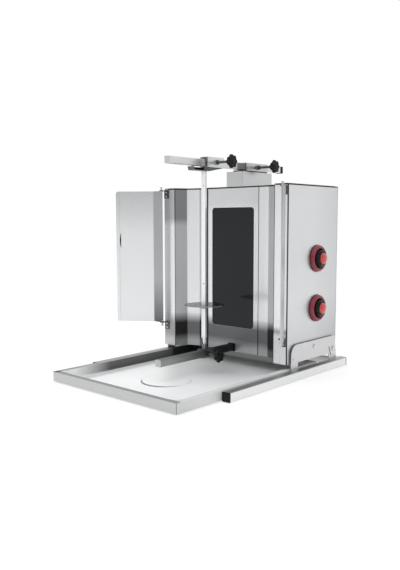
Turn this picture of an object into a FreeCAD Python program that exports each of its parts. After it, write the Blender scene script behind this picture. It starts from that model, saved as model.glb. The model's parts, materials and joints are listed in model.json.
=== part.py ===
# Electric skewer grill: a heated casing on two rails, with a drip tray that slides between the rails,
# an upright skewer held between an upper and a lower arm, two wind guards and two heat controls.
# Millimetres. +Z is up, the cook stands at -Y and the controls are at +X.
# The origin is on the table, under the centre of the base frame.
import FreeCAD, Part
import math
import os

os.makedirs("parts", exist_ok=True)

# ---------------------------------------------------------------- driving dimensions
# Sheet and fits
SHEET = 1.2                  # casing and guard sheet
BEND = 1.0                   # inside radius of a fold
PLAY = 0.3                   # gap between flat faces that slide on each other
RUNNING = 0.05               # radial clearance of a shaft in its hole

# Base frame
RAIL_SIDE = 25.0
RAIL_WALL = 1.5
RAIL_LENGTH = 561.0
RAIL_CLEARANCE = 2.5         # casing side to the inner face of a rail
TUBE_CORNER = 2.0            # outside corner radius of the square tubes
CAP_HEAD = 3.0               # plastic cap outside the rail
CAP_PLUG = 14.0              # plastic cap inside the rail
STRAP_WIDTH = 30.0
STRAP_THICK = 2.0
FRONT_STRAP_Y = -200.0

# Drip tray
TRAY_SIDE_GAP = 2.0          # tray to rail
TRAY_LENGTH = 600.0
TRAY_HEIGHT = 26.5
TRAY_FRONT = -444.0
TRAY_RIM = 15.0              # flat rim round the pan
TRAY_CORNER = 27.0           # corner radius of the pan
TRAY_DRAFT = 4.0             # how far the pan wall leans in
TRAY_COVE = 6.0              # radius between the pan wall and the floor
BOSS_RADIUS = 69.0
BOSS_HEIGHT = 2.5
BOSS_Y = -238.5

# Casing
BODY_WIDTH = 477.0
BODY_FRONT = -4.0
BODY_REAR = 261.0
BODY_BOTTOM = 44.0
BODY_HEIGHT = 505.0
POST_WIDTH = 45.5            # flat front post beside the folded wing
WING_FOLD_IN = 62.5          # casing side to the fold between the two facets of a wing
WING_MID_Y = 36.0
WING_END_IN = 103.5          # casing side to where the wing meets the back of the recess
RECESS_Y = 50.0              # front face of the glass frame panel
FRAME_PANEL_WIDTH = 198.0
FLANGE = 12.0                # folded back edges that join the front sheets
SIDE_RETURN = 20.0           # front and rear returns of a side panel
COVER_SEAM = 1.5             # shadow gap under the top cover
COVER_LIP = 14.0
VENT_LENGTH = 60.0
VENT_HEIGHT = 5.0
VENT_PITCH = 14.0
VENT_ROWS = 10
VENT_COLUMN_X = 75.0
VENT_LOW_Z = 330.0

# Glass and heaters
GLASS_WIDTH = 175.0
GLASS_HEIGHT = 377.0
GLASS_THICK = 4.0
GLASS_RAISE = 7.1            # middle of the glass above the casing's middle
GLASS_CORNER = 12.0
WINDOW_MARGIN = 6.0          # glass hidden behind the window's edge
GASKET_WIDTH = 5.0
GASKET_THICK = 1.0
HEATER_TRAY_DEPTH = 30.0
HEATER_TRAY_MARGIN = 9.0     # glass edge to the heater tray's wall
HEATER_TRAY_SHEET = 0.8
BOARD_THICK = 12.0
ELEMENT_RADIUS = 3.2
ELEMENT_RUNS = 3
ELEMENT_PITCH = 52.0
ELEMENT_RUN_LENGTH = 96.0
ELEMENT_INSET = 98.5         # end of the glass to the centre of its heater
TERMINAL_LENGTH = 14.0
STRAP_BAND = 20.0
STRAP_SHEET = 1.5
STRAP_INSET = 30.5           # end of the glass to the middle of its strap

# Heat controls
CONTROL_Y = 147.7
UPPER_CONTROL_Z = 336.3
LOWER_CONTROL_Z = 190.4
BEZEL_RADIUS = 38.5
BEZEL_THICK = 5.5
RING_THICK = 2.5
RING_BORE = 26.5             # radius of the opening in the red ring
KNOB_RADIUS = 25.5
KNOB_HEIGHT = 19.0
KNOB_FLUTES = 6
CAP_RADIUS = 15.5
CAP_DOME = 8.0
SHAFT_RADIUS = 3.0
REGULATOR_DEPTH = 32.0
REGULATOR_WIDTH = 46.0
REGULATOR_HEIGHT = 38.0
BLADE_LENGTH = 8.0
BLADE_WIDTH = 6.3
BLADE_THICK = 0.8
BLADE_PLACES = ((-14.0, -10.0), (-14.0, 10.0), (14.0, -10.0), (14.0, 10.0))
GLAND_Z = 90.0
GLAND_INSET = 88.5           # casing side to the gland
GLAND_BORE = 4.2             # radius of the cable's hole
GLAND_THREAD = 8.0
GLAND_HEX = 19.0             # across the flats
GLAND_NOSE = 14.0
GLAND_HEX_THICK = 6.0
GLAND_NUT_THICK = 4.0
GLAND_TAIL = 9.0             # thread inside the casing
GLAND_TAPER = (2.5, 3.0)     # how far the nose draws in, and over what length
TERMINAL_BLOCK_WIDTH = 60.0
TERMINAL_BLOCK_DEPTH = 26.0
TERMINAL_BLOCK_HEIGHT = 16.0
TERMINAL_BLOCK_INSET = 44.0  # rear of the casing to the block
TERMINAL_WAY_WIDTH = 8.0
TERMINAL_WAY_HEIGHT = 6.0
TERMINAL_WAYS = 5

# Side brackets
BRACKET_SHEET = 2.0
BRACKET_STANDOFF = 4.5
BRACKET_FRONT = 13.0
BRACKET_REAR_TOP = 246.0
BRACKET_REAR_FOOT = 258.0
BRACKET_TOP_Z = 97.0
BRACKET_RADIUS = 28.0
BRACKET_WINDOW = (47.0, 214.0)
BRACKET_BAND_Z = 45.0        # lower edge of the band between the two legs
BRACKET_SLIT = ((212.0, 66.0), (224.0, 38.0), 2.0)   # two ends (y, z) and the width
BRACKET_BOLTS = ((131.4, 79.0, 6.5), (237.6, 58.7, 6.5), (24.0, 55.0, 3.5))   # y, z, head radius

# Arms and carriages
ARM_SIDE = 20.0
ARM_WALL = 1.5
TOP_ARM_FRONT = -230.0
TOP_ARM_REAR = 297.0
ARM_CAP_LENGTH = 12.0
ARM_CAP_WALL = 1.0
SUPPORT_WIDTH = 62.5
SUPPORT_HEIGHT = 45.0
SUPPORT_FRONT = 58.0
SUPPORT_LENGTH = 150.0
SUPPORT_SHEET = 1.5
SPACER_THICK = 4.5
SPACER_FRONT = 68.0
SLEEVE_SIDE = 25.0
SLEEVE_FRONT = 101.0
SLEEVE_LENGTH = 109.0
LOWER_ARM_FRONT = -270.0
LOWER_ARM_REAR = 90.0
LOWER_ARM_LIFT = 13.5        # underside of the casing to the middle of the lower arm
COLLAR_SIDE = 24.5
COLLAR_THICK = 6.0
SOCKET_LENGTH = 36.0
SOCKET_FOOT = 14.0
LOWER_SLEEVE_LENGTH = 32.0
CARRIAGE_SIDE = 30.0
CARRIAGE_WALL = 2.0
CARRIAGE_FRONT = -83.0
CARRIAGE_LENGTH = 72.0
CHANNEL_FRONT = -160.0
CHANNEL_DROP = 10.7          # channel floor below the carriage
CHANNEL_HALF_WIDTH = 12.0
CHANNEL_SHEET = 1.5
CHANNEL_RAKE = 4.0           # how far the turned-up front leans
BEARING_LENGTH = 24.0
BEARING_CHAMFER = 1.0

# Clamp screws
SCREW_RADIUS = 4.0
NUT_FLATS = 13.0
NUT_LENGTH = 6.5
STAR_RADIUS = 20.0
STAR_LOBES = 7
STAR_LOBE_RADIUS = 6.0
STAR_NOTCH_RADIUS = 4.0
STAR_THICK = 12.0
STAR_HUB_RADIUS = 8.0
STAR_HUB_LENGTH = 11.0
REAR_SCREW_Y = 159.0
REAR_STAR_X = 71.0           # inner face of each star
UPPER_SCREW_Y = -45.0
UPPER_STAR_X = 69.0
LOWER_STAR_X = 52.0

# Skewer and meat plate
SKEWER_Y = -80.0
SKEWER_SIDE = 12.0
SKEWER_TURN = 20.0           # degrees, how it stands at rest
SKEWER_FOOT_Z = 104.0        # lower end of the square bar
TIP_RADIUS = 1.2
TIP_SHOULDER = 5.6           # radius where the point begins
TIP_SEAT_Z = 74.5
JOURNAL_RADIUS = 5.0
JOURNAL_LENGTH = 10.0
CUP_RADIUS = 6.5
CUP_HEIGHT = 15.0
PIN_RADIUS = 2.0
PIN_LENGTH = 30.0
PLATE_RADIUS = 57.5
PLATE_THICK = 2.0
PLATE_Z = 200.0
HUB_RADIUS = 12.0
HUB_LENGTH = 8.0
SPARE_HOLES_Z = (264.0, 546.0)

# Wind guards
PIVOT_IN = 4.9               # casing side to the hinge axis
PIVOT_AHEAD = 19.0           # casing front to the hinge axis
GUARD_BOTTOM = 120.0
GUARD_HEIGHT = 420.0
GUARD_FLANGE = 30.0
GUARD_PANEL = 120.0
GUARD_FOLD = 20.0            # degrees between the flange and the panel
GUARD_CORNER = 7.0
GUARD_HEM = 10.0
RIGHT_GUARD_OPEN = 121.0     # degrees from closed
LEFT_GUARD_OPEN = 143.0
EAR_RADIUS = 7.0
EAR_THICK = 1.5
LUG_THICK = 2.0
LUG_PLATE_WIDTH = 20.0
LUG_PLATE_HEIGHT = 25.0
LUG_PLATE_THICK = 1.5
HINGE_PIN_RADIUS = 2.5
HINGE_HEAD_RADIUS = 4.5
HINGE_HEAD_THICK = 3.0
HINGE_PIN_STAND = 7.0        # shank between the lug and the head
RIVET_RADIUS = 3.0
PULL_HEIGHT = 50.0
PULL_WIDTH = 4.0
PULL_INSET = 10.5
PULL_Z = 383.0

# ---------------------------------------------------------------- worked out from them
HALF_BODY = BODY_WIDTH / 2
BODY_TOP = BODY_BOTTOM + BODY_HEIGHT
WALL_TOP = BODY_TOP - SHEET - COVER_SEAM
POST_X = HALF_BODY - POST_WIDTH
WING_MID_X = HALF_BODY - WING_FOLD_IN
WING_END_X = HALF_BODY - WING_END_IN
PIVOT_X = HALF_BODY - PIVOT_IN
PIVOT_Y = BODY_FRONT - PIVOT_AHEAD
GLAND_X = HALF_BODY - GLAND_INSET
SEAM_X = FRAME_PANEL_WIDTH / 2
RAIL_INNER = HALF_BODY + RAIL_CLEARANCE
RAIL_GAP = 2 * RAIL_INNER
TRAY_WIDTH = RAIL_GAP - 2 * TRAY_SIDE_GAP
RAIL_MIDDLE = RAIL_INNER + RAIL_SIDE / 2
TRAY_BOTTOM = STRAP_THICK + PLAY
SUPPORT_TOP = BODY_TOP + SUPPORT_HEIGHT
TOP_ARM_Z = SUPPORT_TOP + SPACER_THICK + SLEEVE_SIDE / 2
LOWER_ARM_Z = BODY_BOTTOM + LOWER_ARM_LIFT
CARRIAGE_LEFT = -ARM_SIDE / 2 - PLAY - CARRIAGE_WALL
CARRIAGE_RIGHT = CARRIAGE_LEFT + CARRIAGE_SIDE
CARRIAGE_BOTTOM = TOP_ARM_Z - ARM_SIDE / 2 - PLAY - CARRIAGE_WALL
CARRIAGE_MIDDLE_Z = CARRIAGE_BOTTOM + CARRIAGE_SIDE / 2
CHANNEL_FLOOR = CARRIAGE_BOTTOM - CHANNEL_DROP
SLEEVE_BORE = ARM_SIDE + 2 * PLAY
GLASS_MIDDLE_Z = BODY_BOTTOM + BODY_HEIGHT / 2 + GLASS_RAISE
ELEMENT_OFFSET_Z = GLASS_HEIGHT / 2 - ELEMENT_INSET
STRAP_OFFSET_Z = GLASS_HEIGHT / 2 - STRAP_INSET
GLASS_FRONT = RECESS_Y + SHEET + GASKET_THICK
GLASS_BACK = GLASS_FRONT + GLASS_THICK
PANEL_X = HALF_BODY
GUARD_TOP = GUARD_BOTTOM + GUARD_HEIGHT
CROSS_TUBE_Y = RAIL_LENGTH / 2 - RAIL_SIDE / 2

X_AXIS = FreeCAD.Vector(1, 0, 0)
Y_AXIS = FreeCAD.Vector(0, 1, 0)
Z_AXIS = FreeCAD.Vector(0, 0, 1)
ORIGIN = FreeCAD.Vector(0, 0, 0)


# ---------------------------------------------------------------- helpers
def at(x, y, z=0.0):
    return FreeCAD.Vector(x, y, z)


def block(x0, x1, y0, y1, z0, z1):
    return Part.makeBox(x1 - x0, y1 - y0, z1 - z0, at(x0, y0, z0))


def rod(start, axis, radius, length):
    return Part.makeCylinder(radius, length, start, axis)


def fuse(shapes):
    whole = shapes[0].fuse(list(shapes[1:])) if len(shapes) > 1 else shapes[0]
    return whole.removeSplitter()


def cut(shape, tools):
    return shape.cut(list(tools)).removeSplitter()


def group(shapes):
    return Part.makeCompound(shapes)


def mirrored(shape):
    return shape.mirror(ORIGIN, X_AXIS)


def turned(shape, centre, axis, degrees):
    copy = shape.copy()
    copy.rotate(centre, axis, degrees)
    return copy


def rounded_rectangle(width, height, radius):
    """Closed wire in the XY plane, centred on the origin."""
    half_w, half_h = width / 2, height / 2
    edges = []
    for turn in range(4):
        across, up = (half_w, half_h) if turn % 2 == 0 else (half_h, half_w)
        start = at(across, -(up - radius))
        end = at(across, up - radius)
        mid = at(across - radius * (1 - math.cos(math.pi / 4)), up - radius * (1 - math.sin(math.pi / 4)))
        corner_end = at(across - radius, up)
        pieces = [Part.LineSegment(start, end).toShape(), Part.Arc(end, mid, corner_end).toShape()]
        for piece in pieces:
            piece.rotate(ORIGIN, Z_AXIS, 90 * turn)
            edges.append(piece)
    return Part.Wire(edges)


def rounded_plate(width, height, radius, thickness, frame):
    """Rounded rectangle, pushed along its normal, then put in the given frame."""
    plate = Part.Face(rounded_rectangle(width, height, radius)).extrude(at(0, 0, thickness))
    plate.Placement = frame.multiply(plate.Placement)
    return plate


def frame_facing(normal, origin):
    """Placement whose Z is the normal; its Y stays as close to up as it can."""
    up = Y_AXIS if abs(normal.z) > 0.5 else Z_AXIS
    side = up.cross(normal)
    side.normalize()
    rotation = FreeCAD.Rotation(side, normal.cross(side), normal, "ZXY")
    return FreeCAD.Placement(origin, rotation)


def square_tube(side, wall, length, start):
    """Square tube along +Y, centred on the start point."""
    frame = frame_facing(Y_AXIS, start)
    outer = rounded_plate(side, side, TUBE_CORNER, length, frame)
    bore = side - 2 * wall
    inner = rounded_plate(bore, bore, max(TUBE_CORNER - wall, 0.3), length, frame)
    return outer.cut(inner)


def corner_arc(before, corner, after, radius):
    """Tangent arc at a corner of a flat outline, with its two tangent points."""
    a = before.sub(corner)
    b = after.sub(corner)
    a.normalize()
    b.normalize()
    half = a.getAngle(b) / 2
    reach = radius / math.tan(half)
    start = corner.add(a.multiply(reach))
    end = corner.add(FreeCAD.Vector(b).multiply(reach))
    middle_line = start.add(end).multiply(0.5).sub(corner)
    middle_line.normalize()
    middle = corner.add(middle_line.multiply(radius / math.sin(half) - radius))
    return start, middle, end


def open_outline(points, radii):
    """Edges of an open line of points, with its inner corners rounded."""
    edges = []
    last = points[0]
    for index in range(1, len(points) - 1):
        start, middle, end = corner_arc(points[index - 1], points[index], points[index + 1], radii[index])
        edges.append(Part.LineSegment(last, start).toShape())
        edges.append(Part.Arc(start, middle, end).toShape())
        last = end
    edges.append(Part.LineSegment(last, points[-1]).toShape())
    return edges


def folded_sheet(points, thickness, side, z0, z1):
    """Sheet folded along upright bends. points is its seen face in plan; side is +1 when the sheet's
    thickness lies to the left of the way the points run, and -1 to the right."""
    line = [at(x, y) for x, y in points]
    ways = []
    for start, end in zip(line, line[1:]):
        way = end.sub(start)
        way.normalize()
        ways.append(way)
    normals = [at(-way.y, way.x).multiply(side * thickness) for way in ways]
    back = [line[0].add(normals[0])]
    face_radii, back_radii = [0], [0]
    for index in range(1, len(line) - 1):
        first, second = normals[index - 1], normals[index]
        middle = first.add(second)
        middle.normalize()
        reach = thickness / math.cos(first.getAngle(second) / 2)
        back.append(line[index].add(middle.multiply(reach)))
        folds_to_back = ways[index - 1].cross(ways[index]).z * side > 0
        face_radii.append(BEND + thickness if folds_to_back else BEND)
        back_radii.append(BEND if folds_to_back else BEND + thickness)
    back.append(line[-1].add(normals[-1]))
    edges = open_outline(line, face_radii)
    edges.append(Part.LineSegment(line[-1], back[-1]).toShape())
    edges += open_outline(back, back_radii)
    edges.append(Part.LineSegment(back[0], line[0]).toShape())
    wire = Part.Wire(Part.__sortEdges__(edges))
    sheet = Part.Face(wire).extrude(at(0, 0, z1 - z0))
    sheet.translate(at(0, 0, z0))
    return sheet


def revolved(profile, centre, axis):
    """Turned piece. profile is (radius, height) pairs; height runs along the axis from the centre."""
    points = [at(radius, 0, height) for radius, height in profile]
    wire = Part.makePolygon(points + [points[0]])
    piece = Part.Face(wire).revolve(ORIGIN, Z_AXIS, 360)
    piece.Placement = frame_facing(axis, centre).multiply(piece.Placement)
    return piece


def hexagon(flats, length, start, axis):
    corner = flats / math.sqrt(3)
    points = [at(corner * math.cos(math.radians(60 * n)), corner * math.sin(math.radians(60 * n)))
              for n in range(7)]
    prism = Part.Face(Part.makePolygon(points)).extrude(at(0, 0, length))
    prism.Placement = frame_facing(axis, start).multiply(prism.Placement)
    return prism


def lobed_outline(radius, lobes, lobe_radius, notch_radius):
    """Closed wire of equal lobes joined by round notches, in the XY plane."""
    step = math.pi / lobes
    ring = radius - lobe_radius
    reach = lobe_radius + notch_radius
    notch_ring = ring * math.cos(step) + math.sqrt(reach ** 2 - (ring * math.sin(step)) ** 2)
    edges = []

    def touch(lobe_angle, notch_angle):
        lobe = at(ring * math.cos(lobe_angle), ring * math.sin(lobe_angle))
        notch = at(notch_ring * math.cos(notch_angle), notch_ring * math.sin(notch_angle))
        return lobe.add(notch.sub(lobe).multiply(lobe_radius / reach))

    for lobe in range(lobes):
        angle = 2 * step * lobe
        start = touch(angle, angle - step)
        tip = at(radius * math.cos(angle), radius * math.sin(angle))
        end = touch(angle, angle + step)
        valley_radius = notch_ring - notch_radius
        valley = at(valley_radius * math.cos(angle + step), valley_radius * math.sin(angle + step))
        after = touch(angle + 2 * step, angle + step)
        edges.append(Part.Arc(start, tip, end).toShape())
        edges.append(Part.Arc(end, valley, after).toShape())
    return Part.Wire(edges)


# ---------------------------------------------------------------- base frame
def rail(sign):
    return square_tube(RAIL_SIDE, RAIL_WALL, RAIL_LENGTH,
                       at(sign * RAIL_MIDDLE, -RAIL_LENGTH / 2, RAIL_SIDE / 2))


def rail_end_caps():
    bore = RAIL_SIDE - 2 * RAIL_WALL
    caps = []
    for side in (-1, 1):
        for end in (-1, 1):
            frame = frame_facing(Y_AXIS * end, at(side * RAIL_MIDDLE, end * RAIL_LENGTH / 2, RAIL_SIDE / 2))
            head = rounded_plate(RAIL_SIDE, RAIL_SIDE, TUBE_CORNER, CAP_HEAD, frame)
            plug = rounded_plate(bore, bore, max(TUBE_CORNER - RAIL_WALL, 0.3), -CAP_PLUG, frame)
            caps.append(fuse([head, plug]))
    return group(caps)


def cross_straps():
    return group([block(-RAIL_INNER, RAIL_INNER, middle - STRAP_WIDTH / 2, middle + STRAP_WIDTH / 2,
                        0, STRAP_THICK) for middle in (FRONT_STRAP_Y, 0.0)])


def rear_cross_tube():
    tube = square_tube(RAIL_SIDE, RAIL_WALL, RAIL_GAP, at(0, -RAIL_GAP / 2, 0))
    tube = turned(tube, ORIGIN, Z_AXIS, 90)
    tube.translate(at(0, CROSS_TUBE_Y, RAIL_SIDE / 2))
    return tube


# ---------------------------------------------------------------- drip tray
def pan_form(inset, floor, top):
    """Solid the size of the pan's hollow, or of its outside when inset is negative."""
    width = TRAY_WIDTH - 2 * (TRAY_RIM + inset)
    length = TRAY_LENGTH - 2 * (TRAY_RIM + inset)
    corner = TRAY_CORNER - inset
    mouth = rounded_rectangle(width, length, corner)
    mouth.translate(at(0, 0, top))
    base = rounded_rectangle(width - 2 * TRAY_DRAFT, length - 2 * TRAY_DRAFT, corner - TRAY_DRAFT)
    base.translate(at(0, 0, floor))
    form = Part.makeLoft([base, mouth], True, True)
    low_edges = [edge for edge in form.Edges
                 if abs(edge.BoundBox.ZMax - floor) < 0.01 and abs(edge.BoundBox.ZMin - floor) < 0.01]
    form = form.makeFillet(TRAY_COVE - inset, low_edges)
    form.translate(at(0, TRAY_FRONT + TRAY_LENGTH / 2, 0))
    return form


def drip_tray():
    half = TRAY_WIDTH / 2
    rear = TRAY_FRONT + TRAY_LENGTH
    top = TRAY_BOTTOM + TRAY_HEIGHT
    floor = TRAY_BOTTOM + SHEET
    skirt = block(-half, half, TRAY_FRONT, rear, TRAY_BOTTOM, top)
    under = block(-half + SHEET, half - SHEET, TRAY_FRONT + SHEET, rear - SHEET, TRAY_BOTTOM, top - SHEET)
    shell = skirt.cut(under).fuse(pan_form(-SHEET, TRAY_BOTTOM, top))
    tray = shell.cut(pan_form(0.0, floor, top))
    wall = BOSS_HEIGHT
    boss = revolved([(0, 0), (BOSS_RADIUS, 0), (BOSS_RADIUS - wall / 2, BOSS_HEIGHT), (0, BOSS_HEIGHT)],
                    at(0, BOSS_Y, floor), Z_AXIS)
    hollow = revolved([(0, 0), (BOSS_RADIUS - SHEET, 0), (BOSS_RADIUS - SHEET - wall / 2, BOSS_HEIGHT),
                       (0, BOSS_HEIGHT)], at(0, BOSS_Y, TRAY_BOTTOM), Z_AXIS)
    return cut(tray.fuse(boss), [hollow])


# ---------------------------------------------------------------- side brackets
def bracket_right():
    x0 = HALF_BODY + BRACKET_STANDOFF
    front, rear_top, rear_foot = BRACKET_FRONT, BRACKET_REAR_TOP, BRACKET_REAR_FOOT
    foot, top = RAIL_SIDE, BRACKET_TOP_Z
    window_front, window_rear = BRACKET_WINDOW
    slit_top, slit_foot, slit_width = BRACKET_SLIT
    corner = top - BRACKET_RADIUS
    diagonal = BRACKET_RADIUS * (1 - math.sqrt(0.5))
    outline = [
        Part.LineSegment(at(x0, front, foot), at(x0, front, corner)).toShape(),
        Part.Arc(at(x0, front, corner), at(x0, front + diagonal, top - diagonal),
                 at(x0, front + BRACKET_RADIUS, top)).toShape(),
        Part.LineSegment(at(x0, front + BRACKET_RADIUS, top), at(x0, rear_top, top)).toShape(),
        Part.LineSegment(at(x0, rear_top, top), at(x0, rear_foot, foot)).toShape(),
        Part.LineSegment(at(x0, rear_foot, foot), at(x0, front, foot)).toShape(),
    ]
    plate = Part.Face(Part.Wire(outline)).extrude(at(BRACKET_SHEET, 0, 0))
    x1 = x0 + BRACKET_SHEET
    window = block(x0, x1, window_front, window_rear, foot, BRACKET_BAND_Z)
    slit_points = [(slit_top[0], slit_top[1]), (slit_top[0] + slit_width, slit_top[1]),
                   (slit_foot[0] + slit_width, slit_foot[1]), (slit_foot[0], slit_foot[1]), slit_top]
    slit_face = Part.Face(Part.makePolygon([at(x0, y, z) for y, z in slit_points]))
    slit = slit_face.extrude(at(BRACKET_SHEET, 0, 0))
    holes = [rod(at(x0, y, z), X_AXIS, head / 2, BRACKET_SHEET) for y, z, head in BRACKET_BOLTS]
    return cut(plate, [window, slit] + holes)


def bracket_bolts():
    """Domed bolts through the bracket, its spacer and the side panel, with a nut inside."""
    bolts = []
    for y, z, head in BRACKET_BOLTS:
        shank = head / 2
        face = HALF_BODY + BRACKET_STANDOFF + BRACKET_SHEET
        dome = revolved([(0, 0), (head, 0), (head, head * 0.25), (head * 0.7, head * 0.5), (0, head * 0.6)],
                        at(face, y, z), X_AXIS)
        inner = HALF_BODY - SHEET
        stem = rod(at(inner - head, y, z), X_AXIS, shank, face - inner + head)
        nut = hexagon(head * 1.8, head * 0.8, at(inner, y, z), -X_AXIS)
        bolt = fuse([dome, stem, nut])
        bolts += [bolt, mirrored(bolt)]
    return group(bolts)


def bracket_spacers():
    spacers = []
    for y, z, head in BRACKET_BOLTS:
        start = at(HALF_BODY, y, z)
        ring = rod(start, X_AXIS, head, BRACKET_STANDOFF).cut(rod(start, X_AXIS, head / 2, BRACKET_STANDOFF))
        spacers += [ring, mirrored(ring)]
    return group(spacers)


# ---------------------------------------------------------------- casing
def side_panel(sign, holes):
    front = BODY_FRONT + SHEET
    rear = BODY_REAR - SHEET
    inner = HALF_BODY - SIDE_RETURN
    panel = folded_sheet([(inner, front), (HALF_BODY, front), (HALF_BODY, rear), (inner, rear)],
                         SHEET, 1, BODY_BOTTOM, WALL_TOP)
    bolt_holes = [rod(at(HALF_BODY - 2 * SHEET, y, z), X_AXIS, head / 2, 4 * SHEET)
                  for y, z, head in BRACKET_BOLTS]
    panel = cut(panel, bolt_holes + holes)
    return panel if sign > 0 else mirrored(panel)


def reflector_right():
    """Post, two-facet wing and the strip beside the glass frame, folded from one sheet."""
    return folded_sheet([(HALF_BODY, BODY_FRONT), (POST_X, BODY_FRONT), (WING_MID_X, WING_MID_Y),
                         (WING_END_X, RECESS_Y), (SEAM_X, RECESS_Y), (SEAM_X, RECESS_Y + FLANGE)],
                        SHEET, -1, BODY_BOTTOM, WALL_TOP)


def glass_frame_panel():
    panel = folded_sheet([(SEAM_X, RECESS_Y + FLANGE), (SEAM_X, RECESS_Y), (-SEAM_X, RECESS_Y),
                          (-SEAM_X, RECESS_Y + FLANGE)], SHEET, -1, BODY_BOTTOM, WALL_TOP)
    window = rounded_plate(GLASS_WIDTH - 2 * WINDOW_MARGIN, GLASS_HEIGHT - 2 * WINDOW_MARGIN,
                           max(GLASS_CORNER - WINDOW_MARGIN / 3, 1.0), 4 * SHEET,
                           frame_facing(Y_AXIS, at(0, RECESS_Y - SHEET, GLASS_MIDDLE_Z)))
    half = ARM_SIDE / 2
    notch = block(-half, half, RECESS_Y - SHEET, RECESS_Y + 3 * SHEET, BODY_BOTTOM, LOWER_ARM_Z + half)
    return cut(panel, [window, notch])


def plan_face(inset):
    """Plan of the casing, with its recess, drawn in by the inset."""
    half = HALF_BODY - inset
    front = BODY_FRONT + inset
    rear = BODY_REAR - inset
    recess = RECESS_Y + inset
    right = [(half, front), (POST_X + inset, front), (WING_MID_X + inset, WING_MID_Y + inset / 2),
             (WING_END_X + inset / 2, recess)]
    points = right + [(-x, y) for x, y in reversed(right)] + [(-half, rear), (half, rear)]
    return Part.Face(Part.makePolygon([at(x, y) for x, y in points + points[:1]]))


def top_cover():
    plate = plan_face(0.0).extrude(at(0, 0, SHEET))
    plate.translate(at(0, 0, BODY_TOP - SHEET))
    inner = HALF_BODY - SHEET
    low = BODY_TOP - SHEET - COVER_LIP
    top = BODY_TOP - SHEET
    rear = BODY_REAR - 2 * SHEET
    lips = []
    for side in (-1, 1):
        near, far = sorted((side * (inner - SHEET), side * inner))
        lips.append(block(near, far, BODY_FRONT + SIDE_RETURN, rear - SIDE_RETURN, low, top))
    reach = HALF_BODY - 2 * SIDE_RETURN
    lips.append(block(-reach, reach, rear, rear + SHEET, low, top))
    reach = SEAM_X - 3 * SHEET
    lips.append(block(-reach, reach, RECESS_Y + SHEET, RECESS_Y + 2 * SHEET, low, top))
    return fuse([plate] + lips)


def bottom_plate():
    """Floor of the casing, inside its walls, with upturned edges at the sides and the rear."""
    inset = 2 * SHEET
    plate = plan_face(inset).extrude(at(0, 0, SHEET))
    plate.translate(at(0, 0, BODY_BOTTOM))
    inner = HALF_BODY - SHEET
    low, high = BODY_BOTTOM, BODY_BOTTOM + COVER_LIP
    first, last = BODY_FRONT + SIDE_RETURN, BODY_REAR - SIDE_RETURN
    gaps = [rod(at(side * (inner - 4 * SHEET), y, z), X_AXIS * side, head * 1.2, 6 * SHEET)
            for y, z, head in BRACKET_BOLTS for side in (-1, 1)]
    for side in (-1, 1):
        near, far = sorted((side * (SEAM_X - inset), side * (SEAM_X + inset)))
        gaps.append(block(near, far, RECESS_Y, RECESS_Y + FLANGE + PLAY, low, low + SHEET))
    edges = []
    for side in (-1, 1):
        near, far = sorted((side * (inner - inset), side * inner))
        edges.append(block(near, far, first, last, low, low + SHEET))
        near, far = sorted((side * (inner - SHEET), side * inner))
        edges.append(block(near, far, first, last, low, high))
    reach = HALF_BODY - 2 * SIDE_RETURN
    edges.append(block(-reach, reach, BODY_REAR - inset - SHEET, BODY_REAR - SHEET, low, low + SHEET))
    edges.append(block(-reach, reach, BODY_REAR - inset, BODY_REAR - SHEET, low, high))
    return cut(fuse([plate] + edges), gaps)


def rear_panel():
    panel = block(-HALF_BODY, HALF_BODY, BODY_REAR - SHEET, BODY_REAR, BODY_BOTTOM, WALL_TOP)
    cutters = [rod(at(GLAND_X, BODY_REAR - 2 * SHEET, GLAND_Z), Y_AXIS, GLAND_THREAD, 3 * SHEET)]
    for column in (-1, 1):
        for row in range(VENT_ROWS):
            centre = at(column * VENT_COLUMN_X, BODY_REAR - 2 * SHEET, VENT_LOW_Z + row * VENT_PITCH)
            cutters.append(rounded_plate(VENT_LENGTH, VENT_HEIGHT, VENT_HEIGHT / 2 - 0.01, 3 * SHEET,
                                         frame_facing(Y_AXIS, centre)))
    return panel.cut(cutters)


# ---------------------------------------------------------------- glass and heaters
def ceramic_glass():
    return rounded_plate(GLASS_WIDTH, GLASS_HEIGHT, GLASS_CORNER, GLASS_THICK,
                         frame_facing(Y_AXIS, at(0, GLASS_FRONT, GLASS_MIDDLE_Z)))


def glass_gasket():
    frame = frame_facing(Y_AXIS, at(0, RECESS_Y + SHEET, GLASS_MIDDLE_Z))
    outer = rounded_plate(GLASS_WIDTH, GLASS_HEIGHT, GLASS_CORNER, GASKET_THICK, frame)
    inner = rounded_plate(GLASS_WIDTH - 2 * GASKET_WIDTH, GLASS_HEIGHT - 2 * GASKET_WIDTH,
                          max(GLASS_CORNER - GASKET_WIDTH, 1.0), GASKET_THICK, frame)
    return outer.cut(inner)


def heater_width():
    return GLASS_WIDTH - 2 * HEATER_TRAY_MARGIN


def heater_height():
    return GLASS_HEIGHT - 2 * HEATER_TRAY_MARGIN


def element_ends():
    """Where each heater's two tails pass through the board: (x, z)."""
    ends = []
    for zone in (-1, 1):
        middle = GLASS_MIDDLE_Z + zone * ELEMENT_OFFSET_Z
        low = middle - ELEMENT_PITCH * (ELEMENT_RUNS - 1) / 2
        high = middle + ELEMENT_PITCH * (ELEMENT_RUNS - 1) / 2
        ends.append((low, high))
    return ends


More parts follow.
